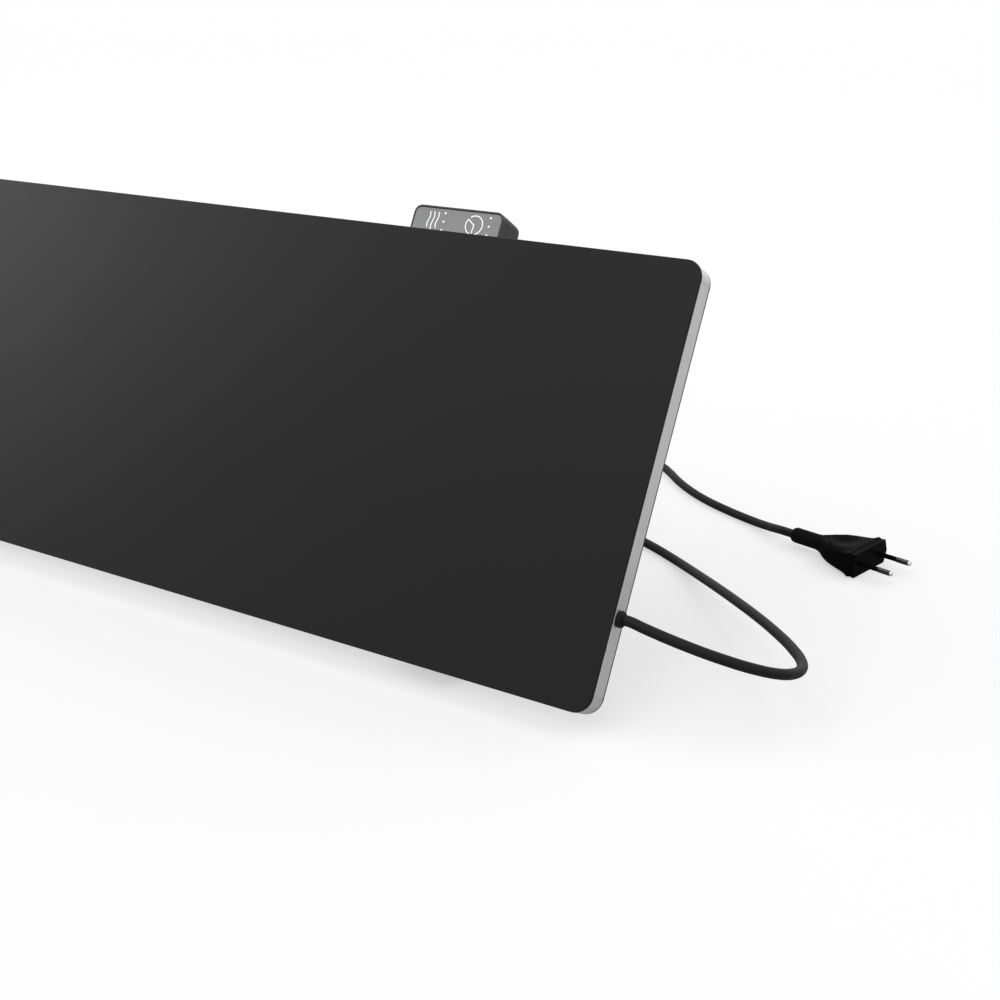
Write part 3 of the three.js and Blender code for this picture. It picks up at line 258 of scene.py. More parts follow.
def mesh_from(name, vertices, faces, sharp_angle=math.radians(35)):
    """A smooth mesh whose edges over the sharp angle stay sharp."""
    mesh = bpy.data.meshes.new(name)
    mesh.from_pydata([tuple(vertex) for vertex in vertices], [], faces)
    shape = bmesh.new()
    shape.from_mesh(mesh)
    bmesh.ops.recalc_face_normals(shape, faces=shape.faces)
    for face in shape.faces:
        face.smooth = True
    for edge in shape.edges:
        edge.smooth = edge.calc_face_angle(0) < sharp_angle
    shape.to_mesh(mesh)
    shape.free()
    return mesh


def turned(name, profile, segments=48):
    """A turned mesh along +X: the profile's points are (distance along, radius)."""
    vertices = []
    rings = []
    for along, radius in profile:
        count = segments if radius > 0 else 1
        rings.append(range(len(vertices), len(vertices) + count))
        for index in range(count):
            angle = 2 * math.pi * index / segments
            vertices.append((along, radius * math.cos(angle), radius * math.sin(angle)))
    faces = []
    for first, second in zip(rings, rings[1:]):
        for index in range(segments):
            after = (index + 1) % segments
            corners = [
                first[index % len(first)],
                first[after % len(first)],
                second[after % len(second)],
                second[index % len(second)],
            ]
            face = list(dict.fromkeys(corners))
            if len(face) > 2:
                faces.append(face)
    return mesh_from(name, vertices, faces)


def rounded(profile, radius, steps=4, longest_share=0.45):
    """The profile with every corner between its ends turned into a short arc."""
    points = [profile[0]]
    for before, corner, after in zip(profile, profile[1:], profile[2:]):
        corner = Vector(corner)
        to_before = Vector(before) - corner
        to_after = Vector(after) - corner
        reach = min(radius, min(to_before.length, to_after.length) * longest_share)
        start = corner + to_before.normalized() * reach
        end = corner + to_after.normalized() * reach
        for step in range(steps + 1):
            t = step / steps
            point = start * (1 - t) ** 2 + corner * 2 * t * (1 - t) + end * t ** 2
            points.append(tuple(point))
    points.append(profile[-1])
    return points


# Gland: the stepped collar where the cord leaves the frame

gland_edge_round = 0.35 * mm


def make_gland():
    """The gland's collar and ring, with rounded edges."""
    inside = right_end - gland_taper_length
    collar_start = right_end + clearance
    collar_end = collar_start + gland_collar_length
    profile = [
        (inside, 0),
        (inside, gland_taper_end_radius),
        (right_end, gland_neck_radius),
        (collar_start, gland_neck_radius),
        (collar_start, gland_collar_radius),
        (collar_end, gland_collar_radius),
        (collar_end, gland_ring_radius),
        (gland_end, gland_ring_radius),
        (gland_end, 0),
    ]
    mesh = turned("gland_collar", rounded(profile, gland_edge_round))
    place = leaning @ Matrix.Translation((0, gland_depth, gland_height))
    gland = new_piece("gland_collar", mesh, place)
    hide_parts("cable_gland")
    return gland


# Plug: a moulded body with thumb dishes, a front ledge and a six-sided face

# Each ring: along the plug, width, height, how square, how six-sided, overall scale
plug_section_shares = [
    (0, 0, 0, 0, 0, 0.84), (0.012, 0, 0, 0, 0, 0.93), (0.035, 0, 0, 0, 0, 1),
    (0.31, 0, 0, 0, 0, 1), (0.36, 0.03, 0.08, 0.15, 0, 1), (0.42, 0.14, 0.36, 0.4, 0, 1),
    (0.48, 0.32, 0.57, 0.7, 0, 1), (0.54, 0.46, 0.73, 0.9, 0, 1), (0.6, 0.57, 0.84, 1, 0, 1),
    (0.68, 0.7, 0.92, 1, 0.1, 1), (0.76, 0.81, 0.94, 1, 0.2, 1), (0.84, 0.89, 0.95, 1, 0.4, 1),
    (0.885, 0.94, 0.96, 1, 0.8, 1), (0.9, 0.985, 0.99, 1, 1, 1), (0.908, 1, 1, 1, 1, 1),
    (0.915, 0.985, 0.95, 1, 1, 1), (0.95, 0.975, 0.82, 1, 1, 1), (0.958, 0.975, 0.82, 1, 1, 1),
    (0.985, 0.975, 0.92, 1, 1, 1), (0.992, 0.975, 0.92, 1, 1, 1), (1, 0.97, 0.9, 1, 1, 0.98),
]
plug_corner_share = 1 / 3
plug_flat_share = 0.87
plug_square_bend = 0.45
plug_rings = 120
plug_ring_points = 96
plug_sharp_angle = math.radians(28)
sign_nudge = 1e-12  # settles the sign where a sine or cosine is almost zero

dish_along = 32 * mm
dish_half_length = 11 * mm
dish_width_share = 0.85
dish_depth = 1.9 * mm
dish_start_share = 0.85
ridge_height = 1 * mm
ridge_reach_share = 0.98
ridge_width_share = 0.1


def blend_row(position, rows):
    """The row of shares at a position, between its two neighbours in the table."""
    for index in range(len(rows) - 1):
        if position <= rows[index + 1][0]:
            break
    first = rows[index]
    second = rows[index + 1]
    t = (position - first[0]) / (second[0] - first[0])
    return [a + (b - a) * t for a, b in zip(first[1:], second[1:])]


def plug_ring(row):
    """A ring's points in width and height, from round through square to six-sided."""
    width_share, height_share, square_share, six_share, scale = row
    half_width = scale * (
        plug_neck_radius + (plug_half_width - plug_neck_radius) * width_share
    )
    half_height = scale * (
        plug_neck_radius + (plug_half_height - plug_neck_radius) * height_share
    )
    flat = half_width * plug_flat_share
    bend = 1 - plug_square_bend * square_share
    points = []
    for index in range(plug_ring_points):
        angle = 2 * math.pi * index / plug_ring_points
        quarter = abs(math.asin(math.sin(angle))) / (math.pi / 2)
        on_side = min(quarter / plug_corner_share, 1)
        on_top = max((quarter - plug_corner_share) / (1 - plug_corner_share), 0)
        six_y = half_width + (flat - half_width) * on_side - flat * on_top
        six_z = half_height * on_side
        round_y = half_width * max(math.cos(quarter * math.pi / 2), 0) ** bend
        round_z = half_height * math.sin(quarter * math.pi / 2) ** bend
        y = round_y + (six_y - round_y) * six_share
        z = round_z + (six_z - round_z) * six_share
        points.append((
            math.copysign(y, math.cos(angle) + sign_nudge),
            math.copysign(z, math.sin(angle) + sign_nudge),
        ))
    return points


def thumb_dish(along, across_share):
    """How far the grip is pressed in at a place, with a raised rim towards the neck."""
    sideways = across_share / dish_width_share
    reach = math.hypot((along - dish_along) / dish_half_length, sideways)
    dish = dish_depth * (0.5 + 0.5 * math.cos(math.pi * min(reach, 1)))
    behind = 1 if along < dish_along else 0
    rim = math.exp(-((reach - ridge_reach_share) / ridge_width_share) ** 2)
    fade = max(0, 1 - sideways ** 2)
    return dish - ridge_height * rim * behind * fade


def make_plug():
    """Rings of points along the plug, pressed in at its thumb dishes."""
    count = plug_ring_points
    vertices = []
    for ring in range(plug_rings + 1):
        position = ring / plug_rings
        along = plug_length * position
        outline = plug_ring(blend_row(position, plug_section_shares))
        half_width = max(y for y, z in outline)
        for y, z in outline:
            topness = min(abs(z) / (dish_start_share * plug_neck_radius), 1) ** 3
            press = thumb_dish(along, y / half_width) * topness
            z -= math.copysign(min(press, abs(z)), z)
            vertices.append((along - plug_length, y, z))
    faces = []
    for ring in range(plug_rings):
        for index in range(count):
            after = (index + 1) % count
            faces.append([
                ring * count + index,
                ring * count + after,
                (ring + 1) * count + after,
                (ring + 1) * count + index,
            ])
    faces.append(list(range(count)))
    faces.append(list(range(plug_rings * count, (plug_rings + 1) * count)))
    mesh = mesh_from("plug_moulding", vertices, faces, plug_sharp_angle)
    plug = new_piece("plug_moulding", mesh, plug_frame)
    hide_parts("plug_body")
    return plug


pin_tip_length = 1 * mm
pin_nose_length = 0.25 * mm
pin_nose_shares = (0.72, 0.35)
pin_edge_round = 0.4 * mm
sleeve_edge_round = 0.15 * mm


def make_pin(side, number):
    """A pin with a thin shank under its insulating sleeve and a rounded nose."""
    wide, narrow = (pin_radius * share for share in pin_nose_shares)
    sleeve_end = clearance + sleeve_length
    profile = [
        (clearance, 0),
        (clearance, pin_shank_radius),
        (sleeve_end + clearance, pin_shank_radius),
        (sleeve_end + clearance, pin_radius),
        (pin_length - pin_tip_length, pin_radius),
        (pin_length - pin_nose_length, wide),
        (pin_length, narrow),
        (pin_length, 0),
    ]
    mesh = turned(f"metal_pin_{number}", rounded(profile, pin_edge_round))
    place = plug_frame @ Matrix.Translation((0, side * pin_spacing / 2, 0))
    metal = new_piece(f"metal_pin_{number}", mesh, place)
    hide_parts(f"plug_pin_{number}")
    cover = [
        (clearance, sleeve_bore_radius),
        (clearance, sleeve_radius),
        (sleeve_end, sleeve_radius),
        (sleeve_end, sleeve_bore_radius),
        (clearance, sleeve_bore_radius),
    ]
    mesh = turned(f"insulating_sleeve_{number}", rounded(cover, sleeve_edge_round))
    sleeve = new_piece(f"insulating_sleeve_{number}", mesh, place)
    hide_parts(f"pin_sleeve_{number}")
    return [metal, sleeve]


# Liners: thin inlays in the seams, so that each seam shows as a fine line; the frame's corner
# liners wear a darker silver, a painted shade

liner_inset = 0.1 * mm
# A bar's faces: corners 0 to 3 lie at its near end and 4 to 7 at its far end
bar_faces = [
    (0, 1, 3, 2), (4, 5, 7, 6), (0, 1, 5, 4), (2, 3, 7, 6), (0, 2, 6, 4), (1, 3, 7, 5),
]


def rounded_loop(left, bottom, width, height, radius, top_limit):
    """A rounded rectangle's points in x and height, cut flat at the top."""
    steps = 8
    corners = [
        (left + width - radius, bottom + height - radius, 0),
        (left + radius, bottom + height - radius, 1),
        (left + radius, bottom + radius, 2),
        (left + width - radius, bottom + radius, 3),
    ]
    points = []
    for x, z, quarter in corners:
        for step in range(steps + 1):
            angle = (quarter + step / steps) * math.pi / 2
            points.append((
                x + radius * math.cos(angle), min(z + radius * math.sin(angle), top_limit),
            ))
    return points


def make_case_liner():
    """A ring in the seam between the two shells of the control box."""
    near = outside_back + box_split
    loops = []
    for inset in (liner_inset, box_wall):
        loops.append(rounded_loop(
            box_x - box_width / 2 + inset, box_top - box_height + inset,
            box_width - 2 * inset, box_height - 2 * inset, box_radius - inset,
            box_top - inset - box_top_fall * (box_split + clearance),
        ))
    count = len(loops[0])
    vertices = [
        (x, depth, z) for depth in (near, near + clearance) for loop in loops for x, z in loop
    ]
    # Where each of the four loops starts, in order round the ring's section
    rows = [0, count, 3 * count, 2 * count]
    faces = []
    for first, second in zip(rows, rows[1:] + rows[:1]):
        for index in range(count):
            after = (index + 1) % count
            faces.append([first + index, first + after, second + after, second + index])
    mesh = mesh_from("case_seam_liner", vertices, faces)
    return new_piece("case_seam_liner", mesh, leaning)


def make_corner_liners():
    """Short strips in the seams between the frame's profiles and its corners."""
    liners = []
    outer = right_end - liner_inset
    inner = right_end - frame_wall
    near = frame_front + liner_inset
    far = frame_front + frame_depth - liner_inset
    from_end = (corner_radius, corner_radius + clearance)
    from_edge = (liner_inset, frame_wall)
    for side, side_name in ((-1, "left"), (1, "right")):
        for top, height_name in ((0, "bottom"), (1, "top")):
            heights = [panel_height - end if top else end for end in from_end]
            upright = [(side * x, z) for z in heights for x in (inner, outer)]
            levels = [panel_height - edge if top else edge for edge in from_edge]
            lying = [(side * (right_end - end), z) for end in from_end for z in levels]
            for run_name, corners in (("upright", upright), ("lying", lying)):
                vertices = [(x, depth, z) for depth in (near, far) for x, z in corners]
                name = f"frame_seam_{height_name}_{side_name}_{run_name}"
                mesh = mesh_from(name, vertices, bar_faces)
                liners.append(new_piece(name, mesh, leaning))
    return liners


gland = make_gland()
plug = make_plug()
case_liner = make_case_liner()
corner_liners = make_corner_liners()
pins = make_pin(1, 1) + make_pin(-1, 2)

# Printed symbols of the touch face: flat shapes, raised a little

symbol_lift = 0.05 * mm
symbol_width = 0.46 * mm
wave_amplitude = 0.42 * mm
dot_radius = 0.5 * mm
timer_radius = 4.7 * mm
timer_centre = (10.3 * mm, 208 * mm)
timer_ring_start = math.radians(128)
timer_ring_sweep = math.radians(338)
timer_ring_steps = 64
# Each hand: its direction and its length
timer_hands = [(math.radians(145), 4.9 * mm), (math.radians(-97), 4.2 * mm)]
# Each wave: its place across, its low end and its high end
wave_places = [
    (-16 * mm, 204.6 * mm, 212.6 * mm),
    (-13.6 * mm, 203.3 * mm, 212.7 * mm),
    (-11.1 * mm, 204.6 * mm, 212.6 * mm),
]
dot_columns = [-7.3 * mm, 18.6 * mm]
dot_count = 3
dot_top = face_top - 2.1 * mm
dot_spacing = 4.3 * mm


def ribbon(points, width):
    """Vertices and faces of a flat line with square ends, in x and height."""
    vertices = []
    for index, point in enumerate(points):
        before = points[max(index - 1, 0)]
        after = points[min(index + 1, len(points) - 1)]
        direction = (Vector(after) - Vector(before)).normalized()
        across = Vector((-direction.y, direction.x)) * width / 2
        vertices.append(Vector(point) + across)
        vertices.append(Vector(point) - across)
    faces = [
        [2 * index, 2 * index + 1, 2 * index + 3, 2 * index + 2]
        for index in range(len(points) - 1)
    ]
    return vertices, faces


def disc(centre, radius, count=24):
    """A flat round dot, in x and height."""
    vertices = []
    for index in range(count):
        angle = 2 * math.pi * index / count
        vertices.append(Vector((
            centre[0] + radius * math.cos(angle), centre[1] + radius * math.sin(angle),
        )))
    return vertices, [list(range(count))]


def wave(x, low, high, steps=24):
    """One upright heat wave: a full period of a sine."""
    points = []
    for step in range(steps + 1):
        t = step / steps
        points.append((x - wave_amplitude * math.sin(2 * math.pi * t), low + (high - low) * t))
    return ribbon(points, symbol_width)


def from_timer_centre(angle, distance):
    """A place at an angle and a distance from the timer symbol's centre."""
    x, height = timer_centre
    return (x + distance * math.cos(angle), height + distance * math.sin(angle))


def timer_shapes():
    """An open ring and two hands."""
    ring = []
    for step in range(timer_ring_steps + 1):
        angle = timer_ring_start - timer_ring_sweep * step / timer_ring_steps
        ring.append(from_timer_centre(angle, timer_radius))
    shapes = [ribbon(ring, symbol_width)]
    for angle, length in timer_hands:
        shapes.append(ribbon([timer_centre, from_timer_centre(angle, length)], symbol_width))
    shapes.append(disc(timer_centre, symbol_width / 2))
    return shapes


def make_symbol(name, shapes):
    """Joins flat shapes into one thin raised print on the control face."""
    shape = bmesh.new()
    for vertices, faces in shapes:
        corners = [
            shape.verts.new((box_x + vertex.x, outside_back, vertex.y)) for vertex in vertices
        ]
        for face in faces:
            shape.faces.new([corners[index] for index in face])
    base = list(shape.faces)
    raised = bmesh.ops.extrude_face_region(shape, geom=base)
    for item in raised["geom"]:
        if isinstance(item, bmesh.types.BMVert):
            item.co.y -= symbol_lift
    bmesh.ops.recalc_face_normals(shape, faces=shape.faces)
    mesh = bpy.data.meshes.new(name)
    shape.to_mesh(mesh)
    shape.free()
    return new_piece(name, mesh, leaning)


symbols = [
    make_symbol("heat_symbol", [wave(*place) for place in wave_places]),
    make_symbol("timer_symbol", timer_shapes()),
]
for name, column in zip(("heat_level_dots", "timer_level_dots"), dot_columns):
    dots = [
        disc((column, dot_top - index * dot_spacing), dot_radius)
        for index in range(dot_count)
    ]
    symbols.append(make_symbol(name, dots))

# Materials


def new_node(look, kind):
    return look.node_tree.nodes.new(kind)


def join_nodes(look, output, target):
    look.node_tree.links.new(output, target)


def shader_of(look):
    return look.node_tree.nodes["Principled BSDF"]


def new_look(name, color, roughness, metallic=0.0, specular=0.5):
    """A material whose shader starts from plain values."""
    look = bpy.data.materials.new(f"look_{name}")
    look.use_nodes = True
    shader = shader_of(look)
    shader.inputs["Base Color"].default_value = (*color, 1)
    shader.inputs["Roughness"].default_value = roughness
    shader.inputs["Metallic"].default_value = metallic
    shader.inputs["Specular IOR Level"].default_value = specular
    return look


def combine(tree, operation, first, second):
    """A maths node's result: each of its two values is a socket or a plain number."""
    node = tree.nodes.new("ShaderNodeMath")
    node.operation = operation
    for value, target in zip((first, second), node.inputs):
        if isinstance(value, bpy.types.NodeSocket):
            tree.links.new(value, target)
        else:
            target.default_value = value
    return node.outputs[0]


def texture_place(look, stretch=(1, 1, 1), tilt=0.0):
    """Object coordinates in metres, tilted about the x axis and then stretched."""
    coordinates = new_node(look, "ShaderNodeTexCoord")
    turn = new_node(look, "ShaderNodeMapping")
    turn.vector_type = "POINT"
    turn.inputs["Rotation"].default_value = (tilt, 0, 0)
    join_nodes(look, coordinates.outputs["Object"], turn.inputs["Vector"])
    scale = new_node(look, "ShaderNodeMapping")
    scale.inputs["Scale"].default_value = stretch
    join_nodes(look, turn.outputs["Vector"], scale.inputs["Vector"])
    return scale.outputs["Vector"]


def noise(look, per_metre, detail=2.0, stretch=(1, 1, 1), tilt=0.0):
    """A noise texture, with its scale for each metre of the piece."""
    texture = new_node(look, "ShaderNodeTexNoise")
    texture.inputs["Scale"].default_value = per_metre
    texture.inputs["Detail"].default_value = detail
    join_nodes(look, texture_place(look, stretch, tilt), texture.inputs["Vector"])
    return texture.outputs["Fac"]


def remap(look, value, from_range, to_range=(0, 1)):
    """Maps one range of values evenly to another, and holds it at both ends."""
    node = new_node(look, "ShaderNodeMapRange")
    for end, before, after in zip(("Min", "Max"), from_range, to_range):
        node.inputs[f"From {end}"].default_value = before
        node.inputs[f"To {end}"].default_value = after
    join_nodes(look, value, node.inputs["Value"])
    return node.outputs["Result"]


noise_middle = (0.3, 0.7)


def spread(look, factor, low=0, high=1):
    """Maps a noise's middle range to a range of values."""
    return remap(look, factor, noise_middle, (low, high))


def mix_colors(look, factor, first, second):
    """The base colour goes from the first colour to the second as the factor rises."""
    mix = new_node(look, "ShaderNodeMix")
    mix.data_type = "RGBA"
    mix.inputs["A"].default_value = (*first, 1)
    mix.inputs["B"].default_value = (*second, 1)
    join_nodes(look, factor, mix.inputs["Factor"])
    join_nodes(look, mix.outputs["Result"], shader_of(look).inputs["Base Color"])


def vary_color(look, factor, dark, light):
    """The base colour varies between two tones with a noise."""
    mix_colors(look, spread(look, factor), dark, light)


def vary_roughness(look, factor, low, high):
    """The roughness varies between two values with a noise."""
    join_nodes(look, spread(look, factor, low, high), shader_of(look).inputs["Roughness"])


def add_bump(look, factor, height, strength):
    """Fine relief that follows a noise, with its height in metres."""
    bump = new_node(look, "ShaderNodeBump")
    bump.inputs["Distance"].default_value = height
    bump.inputs["Strength"].default_value = strength
    join_nodes(look, factor, bump.inputs["Height"])
    join_nodes(look, bump.outputs["Normal"], shader_of(look).inputs["Normal"])


def tone(color, factor):
    """The colour made darker or lighter."""
    return tuple(channel * factor for channel in color)


def black_coat():
    """Satin black coating of the front plate."""
    color = (0.0068, 0.0069, 0.007)
    look = new_look("black_coat", color, roughness=0.35, specular=0.182)
    patches = noise(look, per_metre=6, detail=3)
    vary_color(look, patches, tone(color, 0.94), tone(color, 1.06))
    vary_roughness(look, noise(look, per_metre=18, detail=4), low=0.33, high=0.37)
    add_bump(look, noise(look, per_metre=3500, detail=2), height=0.004 * mm, strength=0.6)
    return look


drawn_lines_across = 4000
drawn_lines_along = 40


def anodised(name, along, shade=1.0):
    """Satin silver with the fine drawn lines of the extrusion along one direction."""
    color = tone((0.82, 0.822, 0.824), shade)
    look = new_look(name, color, roughness=0.42, metallic=0.9)
    stretch = [drawn_lines_across] * 3
    stretch["xyz".index(along)] = drawn_lines_along
    lines = noise(look, per_metre=1, detail=3, stretch=stretch, tilt=lean)
    vary_color(look, lines, tone(color, 0.96), tone(color, 1.03))
    vary_roughness(look, lines, low=0.38, high=0.46)
    add_bump(look, lines, height=0.002 * mm, strength=0.5)
    return look


def cast_silver():
    """Finely grained silver of the frame's cast corners."""
    color = (0.77, 0.772, 0.774)
    look = new_look("cast_silver", color, roughness=0.42, metallic=0.9)
    grains = noise(look, per_metre=2500, detail=3)
    vary_color(look, noise(look, per_metre=150), tone(color, 0.97), tone(color, 1.03))
    vary_roughness(look, grains, low=0.38, high=0.48)
    add_bump(look, grains, height=0.004 * mm, strength=0.5)
    return look


def dark_steel():
    """Powder-coated steel of the rear cover, the legs and their brackets."""
    color = (0.032, 0.033, 0.034)
    look = new_look("dark_steel", color, roughness=0.5)
    peel = noise(look, per_metre=900, detail=2)
    vary_color(look, noise(look, per_metre=12, detail=3), tone(color, 0.9), tone(color, 1.12))
    vary_roughness(look, peel, low=0.46, high=0.58)
    add_bump(look, peel, height=0.03 * mm, strength=0.5)
    return look


def zinc_steel():
    """Zinc-plated steel: screws, hinge pins and two parts inside."""
    color = (0.62, 0.625, 0.63)
    look = new_look("zinc_steel", color, roughness=0.3, metallic=1)
    spangle = noise(look, per_metre=700, detail=4)
    vary_color(look, spangle, tone(color, 0.88), tone(color, 1.05))
    vary_roughness(look, noise(look, per_metre=1500, detail=3), low=0.24, high=0.42)
    add_bump(look, spangle, height=0.005 * mm, strength=0.4)
    return look


def dark_plastic():
    """Finely eroded dark plastic: the control box and a few parts inside."""
    color = (0.031, 0.0315, 0.032)
    look = new_look("dark_plastic", color, roughness=0.48)
    erosion = noise(look, per_metre=3000, detail=3)
    vary_color(look, noise(look, per_metre=60), tone(color, 0.95), tone(color, 1.05))
    vary_roughness(look, erosion, low=0.44, high=0.56)
    add_bump(look, erosion, height=0.012 * mm, strength=0.5)
    return look


def grey_face():
    """The light grey touch face, with a thin clear coat."""
    color = (0.275, 0.276, 0.277)
    look = new_look("grey_face", color, roughness=0.28)
    shader_of(look).inputs["Coat Weight"].default_value = 0.3
    shader_of(look).inputs["Coat Roughness"].default_value = 0.12
    vary_color(look, noise(look, per_metre=90, detail=3), tone(color, 0.97), tone(color, 1.03))
    vary_roughness(look, noise(look, per_metre=2500, detail=2), low=0.25, high=0.33)
    add_bump(look, noise(look, per_metre=2500, detail=2), height=0.002 * mm, strength=0.4)
    return look


def rubber():
    """Matt black rubber: the gland, the grommet, the feet and the legs' shoes."""
    color = (0.009, 0.009, 0.0093)
    look = new_look("rubber", color, roughness=0.75, specular=0.25)
    dust = noise(look, per_metre=800, detail=4)
    vary_color(look, dust, tone(color, 0.85), tone(color, 1.3))
    vary_roughness(look, noise(look, per_metre=300, detail=4), low=0.66, high=0.85)
    add_bump(look, noise(look, per_metre=2500, detail=3), height=0.02 * mm, strength=0.6)
    return look


def cord_black():
    """The black jacket of the cord and of the wires."""
    color = (0.0105, 0.0105, 0.0108)
    look = new_look("cord_black", color, roughness=0.5, specular=0.16)
    vary_color(look, noise(look, per_metre=120, detail=3), tone(color, 0.9), tone(color, 1.15))
    vary_roughness(look, noise(look, per_metre=900, detail=3), low=0.42, high=0.52)
    add_bump(look, noise(look, per_metre=1800, detail=3), height=0.012 * mm, strength=0.5)
    return look


def along_piece(look, start, end):
    """0 before the start on the piece's own x axis, 1 past the end, an even rise between."""
    place = new_node(look, "ShaderNodeTexCoord")
    along = new_node(look, "ShaderNodeSeparateXYZ")
    join_nodes(look, place.outputs["Object"], along.inputs["Vector"])
    return remap(look, along.outputs["X"], (start, end))


patchy_low = 0.8


def color_between(look, factor, uneven, first, second):
    """Goes from one colour to another by a factor, made a little uneven by a noise."""
    patchy = spread(look, uneven, low=patchy_low)
    mix_colors(look, combine(look.node_tree, "MULTIPLY", factor, patchy), first, second)


# Where the neck's painted sheen fades into the grip's tone, as shares of the plug's length
neck_end_share = 0.31
grip_start_share = 0.4


def plug_black():
    """Moulded black plastic whose plain neck is painted a little lighter than the grip, a
    painted sheen.
    """
    grip = (0.0046, 0.0046, 0.0047)
    # Painted sheen: the neck's lighter tone stands in for highlights on its top
    neck = (0.0105, 0.0105, 0.0106)
    look = new_look("plug_black", grip, roughness=0.42, specular=0.011)
    neck_end = neck_end_share * plug_length - plug_length
    grip_start = grip_start_share * plug_length - plug_length
    painted_sheen_fade = along_piece(look, neck_end, grip_start)
    color_between(look, painted_sheen_fade, noise(look, per_metre=200, detail=3), neck, grip)
    vary_roughness(look, noise(look, per_metre=1800, detail=3), low=0.4, high=0.52)
    add_bump(look, noise(look, per_metre=3000, detail=3), height=0.012 * mm, strength=0.5)
    return look


def copper():
    """Copper of the busbars and the touch sensor's sheet."""
    color = (0.6, 0.28, 0.16)
    look = new_look("copper", color, roughness=0.32, metallic=1)
    tarnish = noise(look, per_metre=250, detail=5)
    vary_color(look, tarnish, tone(color, 0.72), tone(color, 1.08))
    vary_roughness(look, tarnish, low=0.26, high=0.45)
    return look


def carbon_film():
    """The heating film's dark print, in even bands."""
    color = (0.012, 0.012, 0.013)
    look = new_look("carbon_film", color, roughness=0.5)
    bands = new_node(look, "ShaderNodeTexWave")
    bands.bands_direction = "X"
    bands.inputs["Scale"].default_value = 28
    join_nodes(look, texture_place(look), bands.inputs["Vector"])
    vary_color(look, bands.outputs["Fac"], tone(color, 0.7), tone(color, 2.2))
    vary_roughness(look, noise(look, per_metre=600, detail=3), low=0.45, high=0.6)
    return look


def fibre_board():
    """The pale fibres of the insulation board."""
    color = (0.62, 0.57, 0.47)
    look = new_look("fibre_board", color, roughness=0.95)
    fibres = noise(look, per_metre=1, detail=5, stretch=(300, 1500, 1500))
    vary_color(look, fibres, tone(color, 0.8), tone(color, 1.08))
    vary_roughness(look, fibres, low=0.9, high=1)
    add_bump(look, fibres, height=0.15 * mm, strength=0.6)
    return look


def white_nylon():
    """White nylon of the terminal block and the cord's clamp."""
    color = (0.78, 0.78, 0.76)
    look = new_look("white_nylon", color, roughness=0.45)
    vary_color(look, noise(look, per_metre=150, detail=3), tone(color, 0.96), tone(color, 1.02))
    vary_roughness(look, noise(look, per_metre=2000, detail=2), low=0.4, high=0.52)
    add_bump(look, noise(look, per_metre=2500, detail=2), height=0.006 * mm, strength=0.4)
    return look


def white_print():
    """White print with a faint painted glow: it gives off light of its own."""
    color = (0.96, 0.96, 0.96)
    look = new_look("white_print", color, roughness=0.4)
    # Painted glow: the print's emission makes it brighter than print alone
    shader_of(look).inputs["Emission Color"].default_value = (1, 1, 1, 1)
    shader_of(look).inputs["Emission Strength"].default_value = 0.5
    vary_color(look, noise(look, per_metre=3000, detail=2), tone(color, 0.96), tone(color, 1.02))
    vary_roughness(look, noise(look, per_metre=2500, detail=2), low=0.35, high=0.48)
    return look


def clear_acrylic():
    """Clear acrylic of the light guides."""
    look = new_look("clear_acrylic", (0.9, 0.92, 0.92), roughness=0.12)
    shader_of(look).inputs["Transmission Weight"].default_value = 0.85
    vary_roughness(look, noise(look, per_metre=1200, detail=3), low=0.08, high=0.2)
    return look


def green_board():
    """The circuit board, with a faint grid of tracks."""
    color = (0.022, 0.11, 0.05)
    look = new_look("green_board", color, roughness=0.35)
    tracks = new_node(look, "ShaderNodeTexBrick")
    tracks.inputs["Scale"].default_value = 220
    tracks.inputs["Mortar Size"].default_value = 0.035
    join_nodes(look, texture_place(look, tilt=lean), tracks.inputs["Vector"])
    vary_color(look, tracks.outputs["Fac"], color, tone(color, 1.7))
    vary_roughness(look, noise(look, per_metre=1200, detail=2), low=0.3, high=0.42)
    return look


# How far from the pin's end its painted highlight starts, and where it is full
tip_highlight_start = 1.6 * mm
tip_highlight_full = 0.9 * mm


def nickel_pin():
    """Nickel with fine turning lines, painted dark as a painted reflection, with a painted
    highlight near the pin's end.
    """
    # Painted reflection: the metal's dark tone stands in for dark surroundings mirrored in it
    painted_dark_reflection = (0.08, 0.08, 0.079)
    painted_tip_highlight = (0.85, 0.85, 0.84)
    look = new_look("nickel_pin", painted_dark_reflection, roughness=0.2, metallic=1)
    lines = noise(look, per_metre=1, detail=3, stretch=(4000, 300, 300))
    vary_roughness(look, lines, low=0.14, high=0.28)
    # Painted highlight: the colour turns light over the last millimetres before the end
    tip_highlight_mask = along_piece(look, pin_length - tip_highlight_start, pin_length - tip_highlight_full)
    color_between(look, tip_highlight_mask, lines, painted_dark_reflection, painted_tip_highlight)
    return look


looks = {
    "black_coat": black_coat(),
    "satin_silver": anodised("satin_silver", "x"),
    "cast_silver": cast_silver(),
    "dark_steel": dark_steel(),
    "zinc_steel": zinc_steel(),
    "dark_plastic": dark_plastic(),
    "grey_face": grey_face(),
    "rubber": rubber(),
    "cord_black": cord_black(),
    "copper": copper(),
    "carbon_film": carbon_film(),
    "fibre_board": fibre_board(),
    "white_nylon": white_nylon(),
    "clear_acrylic": clear_acrylic(),
    "green_board": green_board(),
    "nickel_pin": nickel_pin(),
}
side_silver = anodised("side_silver", "z")
# Painted shade: a darker silver for the liners in the frame's corner seams
seam_silver = anodised("seam_silver", "z", shade=0.75)
plug_look = plug_black()
print_painted_glow_look = white_print()


def wear(piece, look):
    """Gives a CAD node or a new piece its material, on the object's own slot."""
    if not piece.material_slots:
        piece.data.materials.append(look)
    for material_slot in piece.material_slots:
        material_slot.link = "OBJECT"
        material_slot.material = look


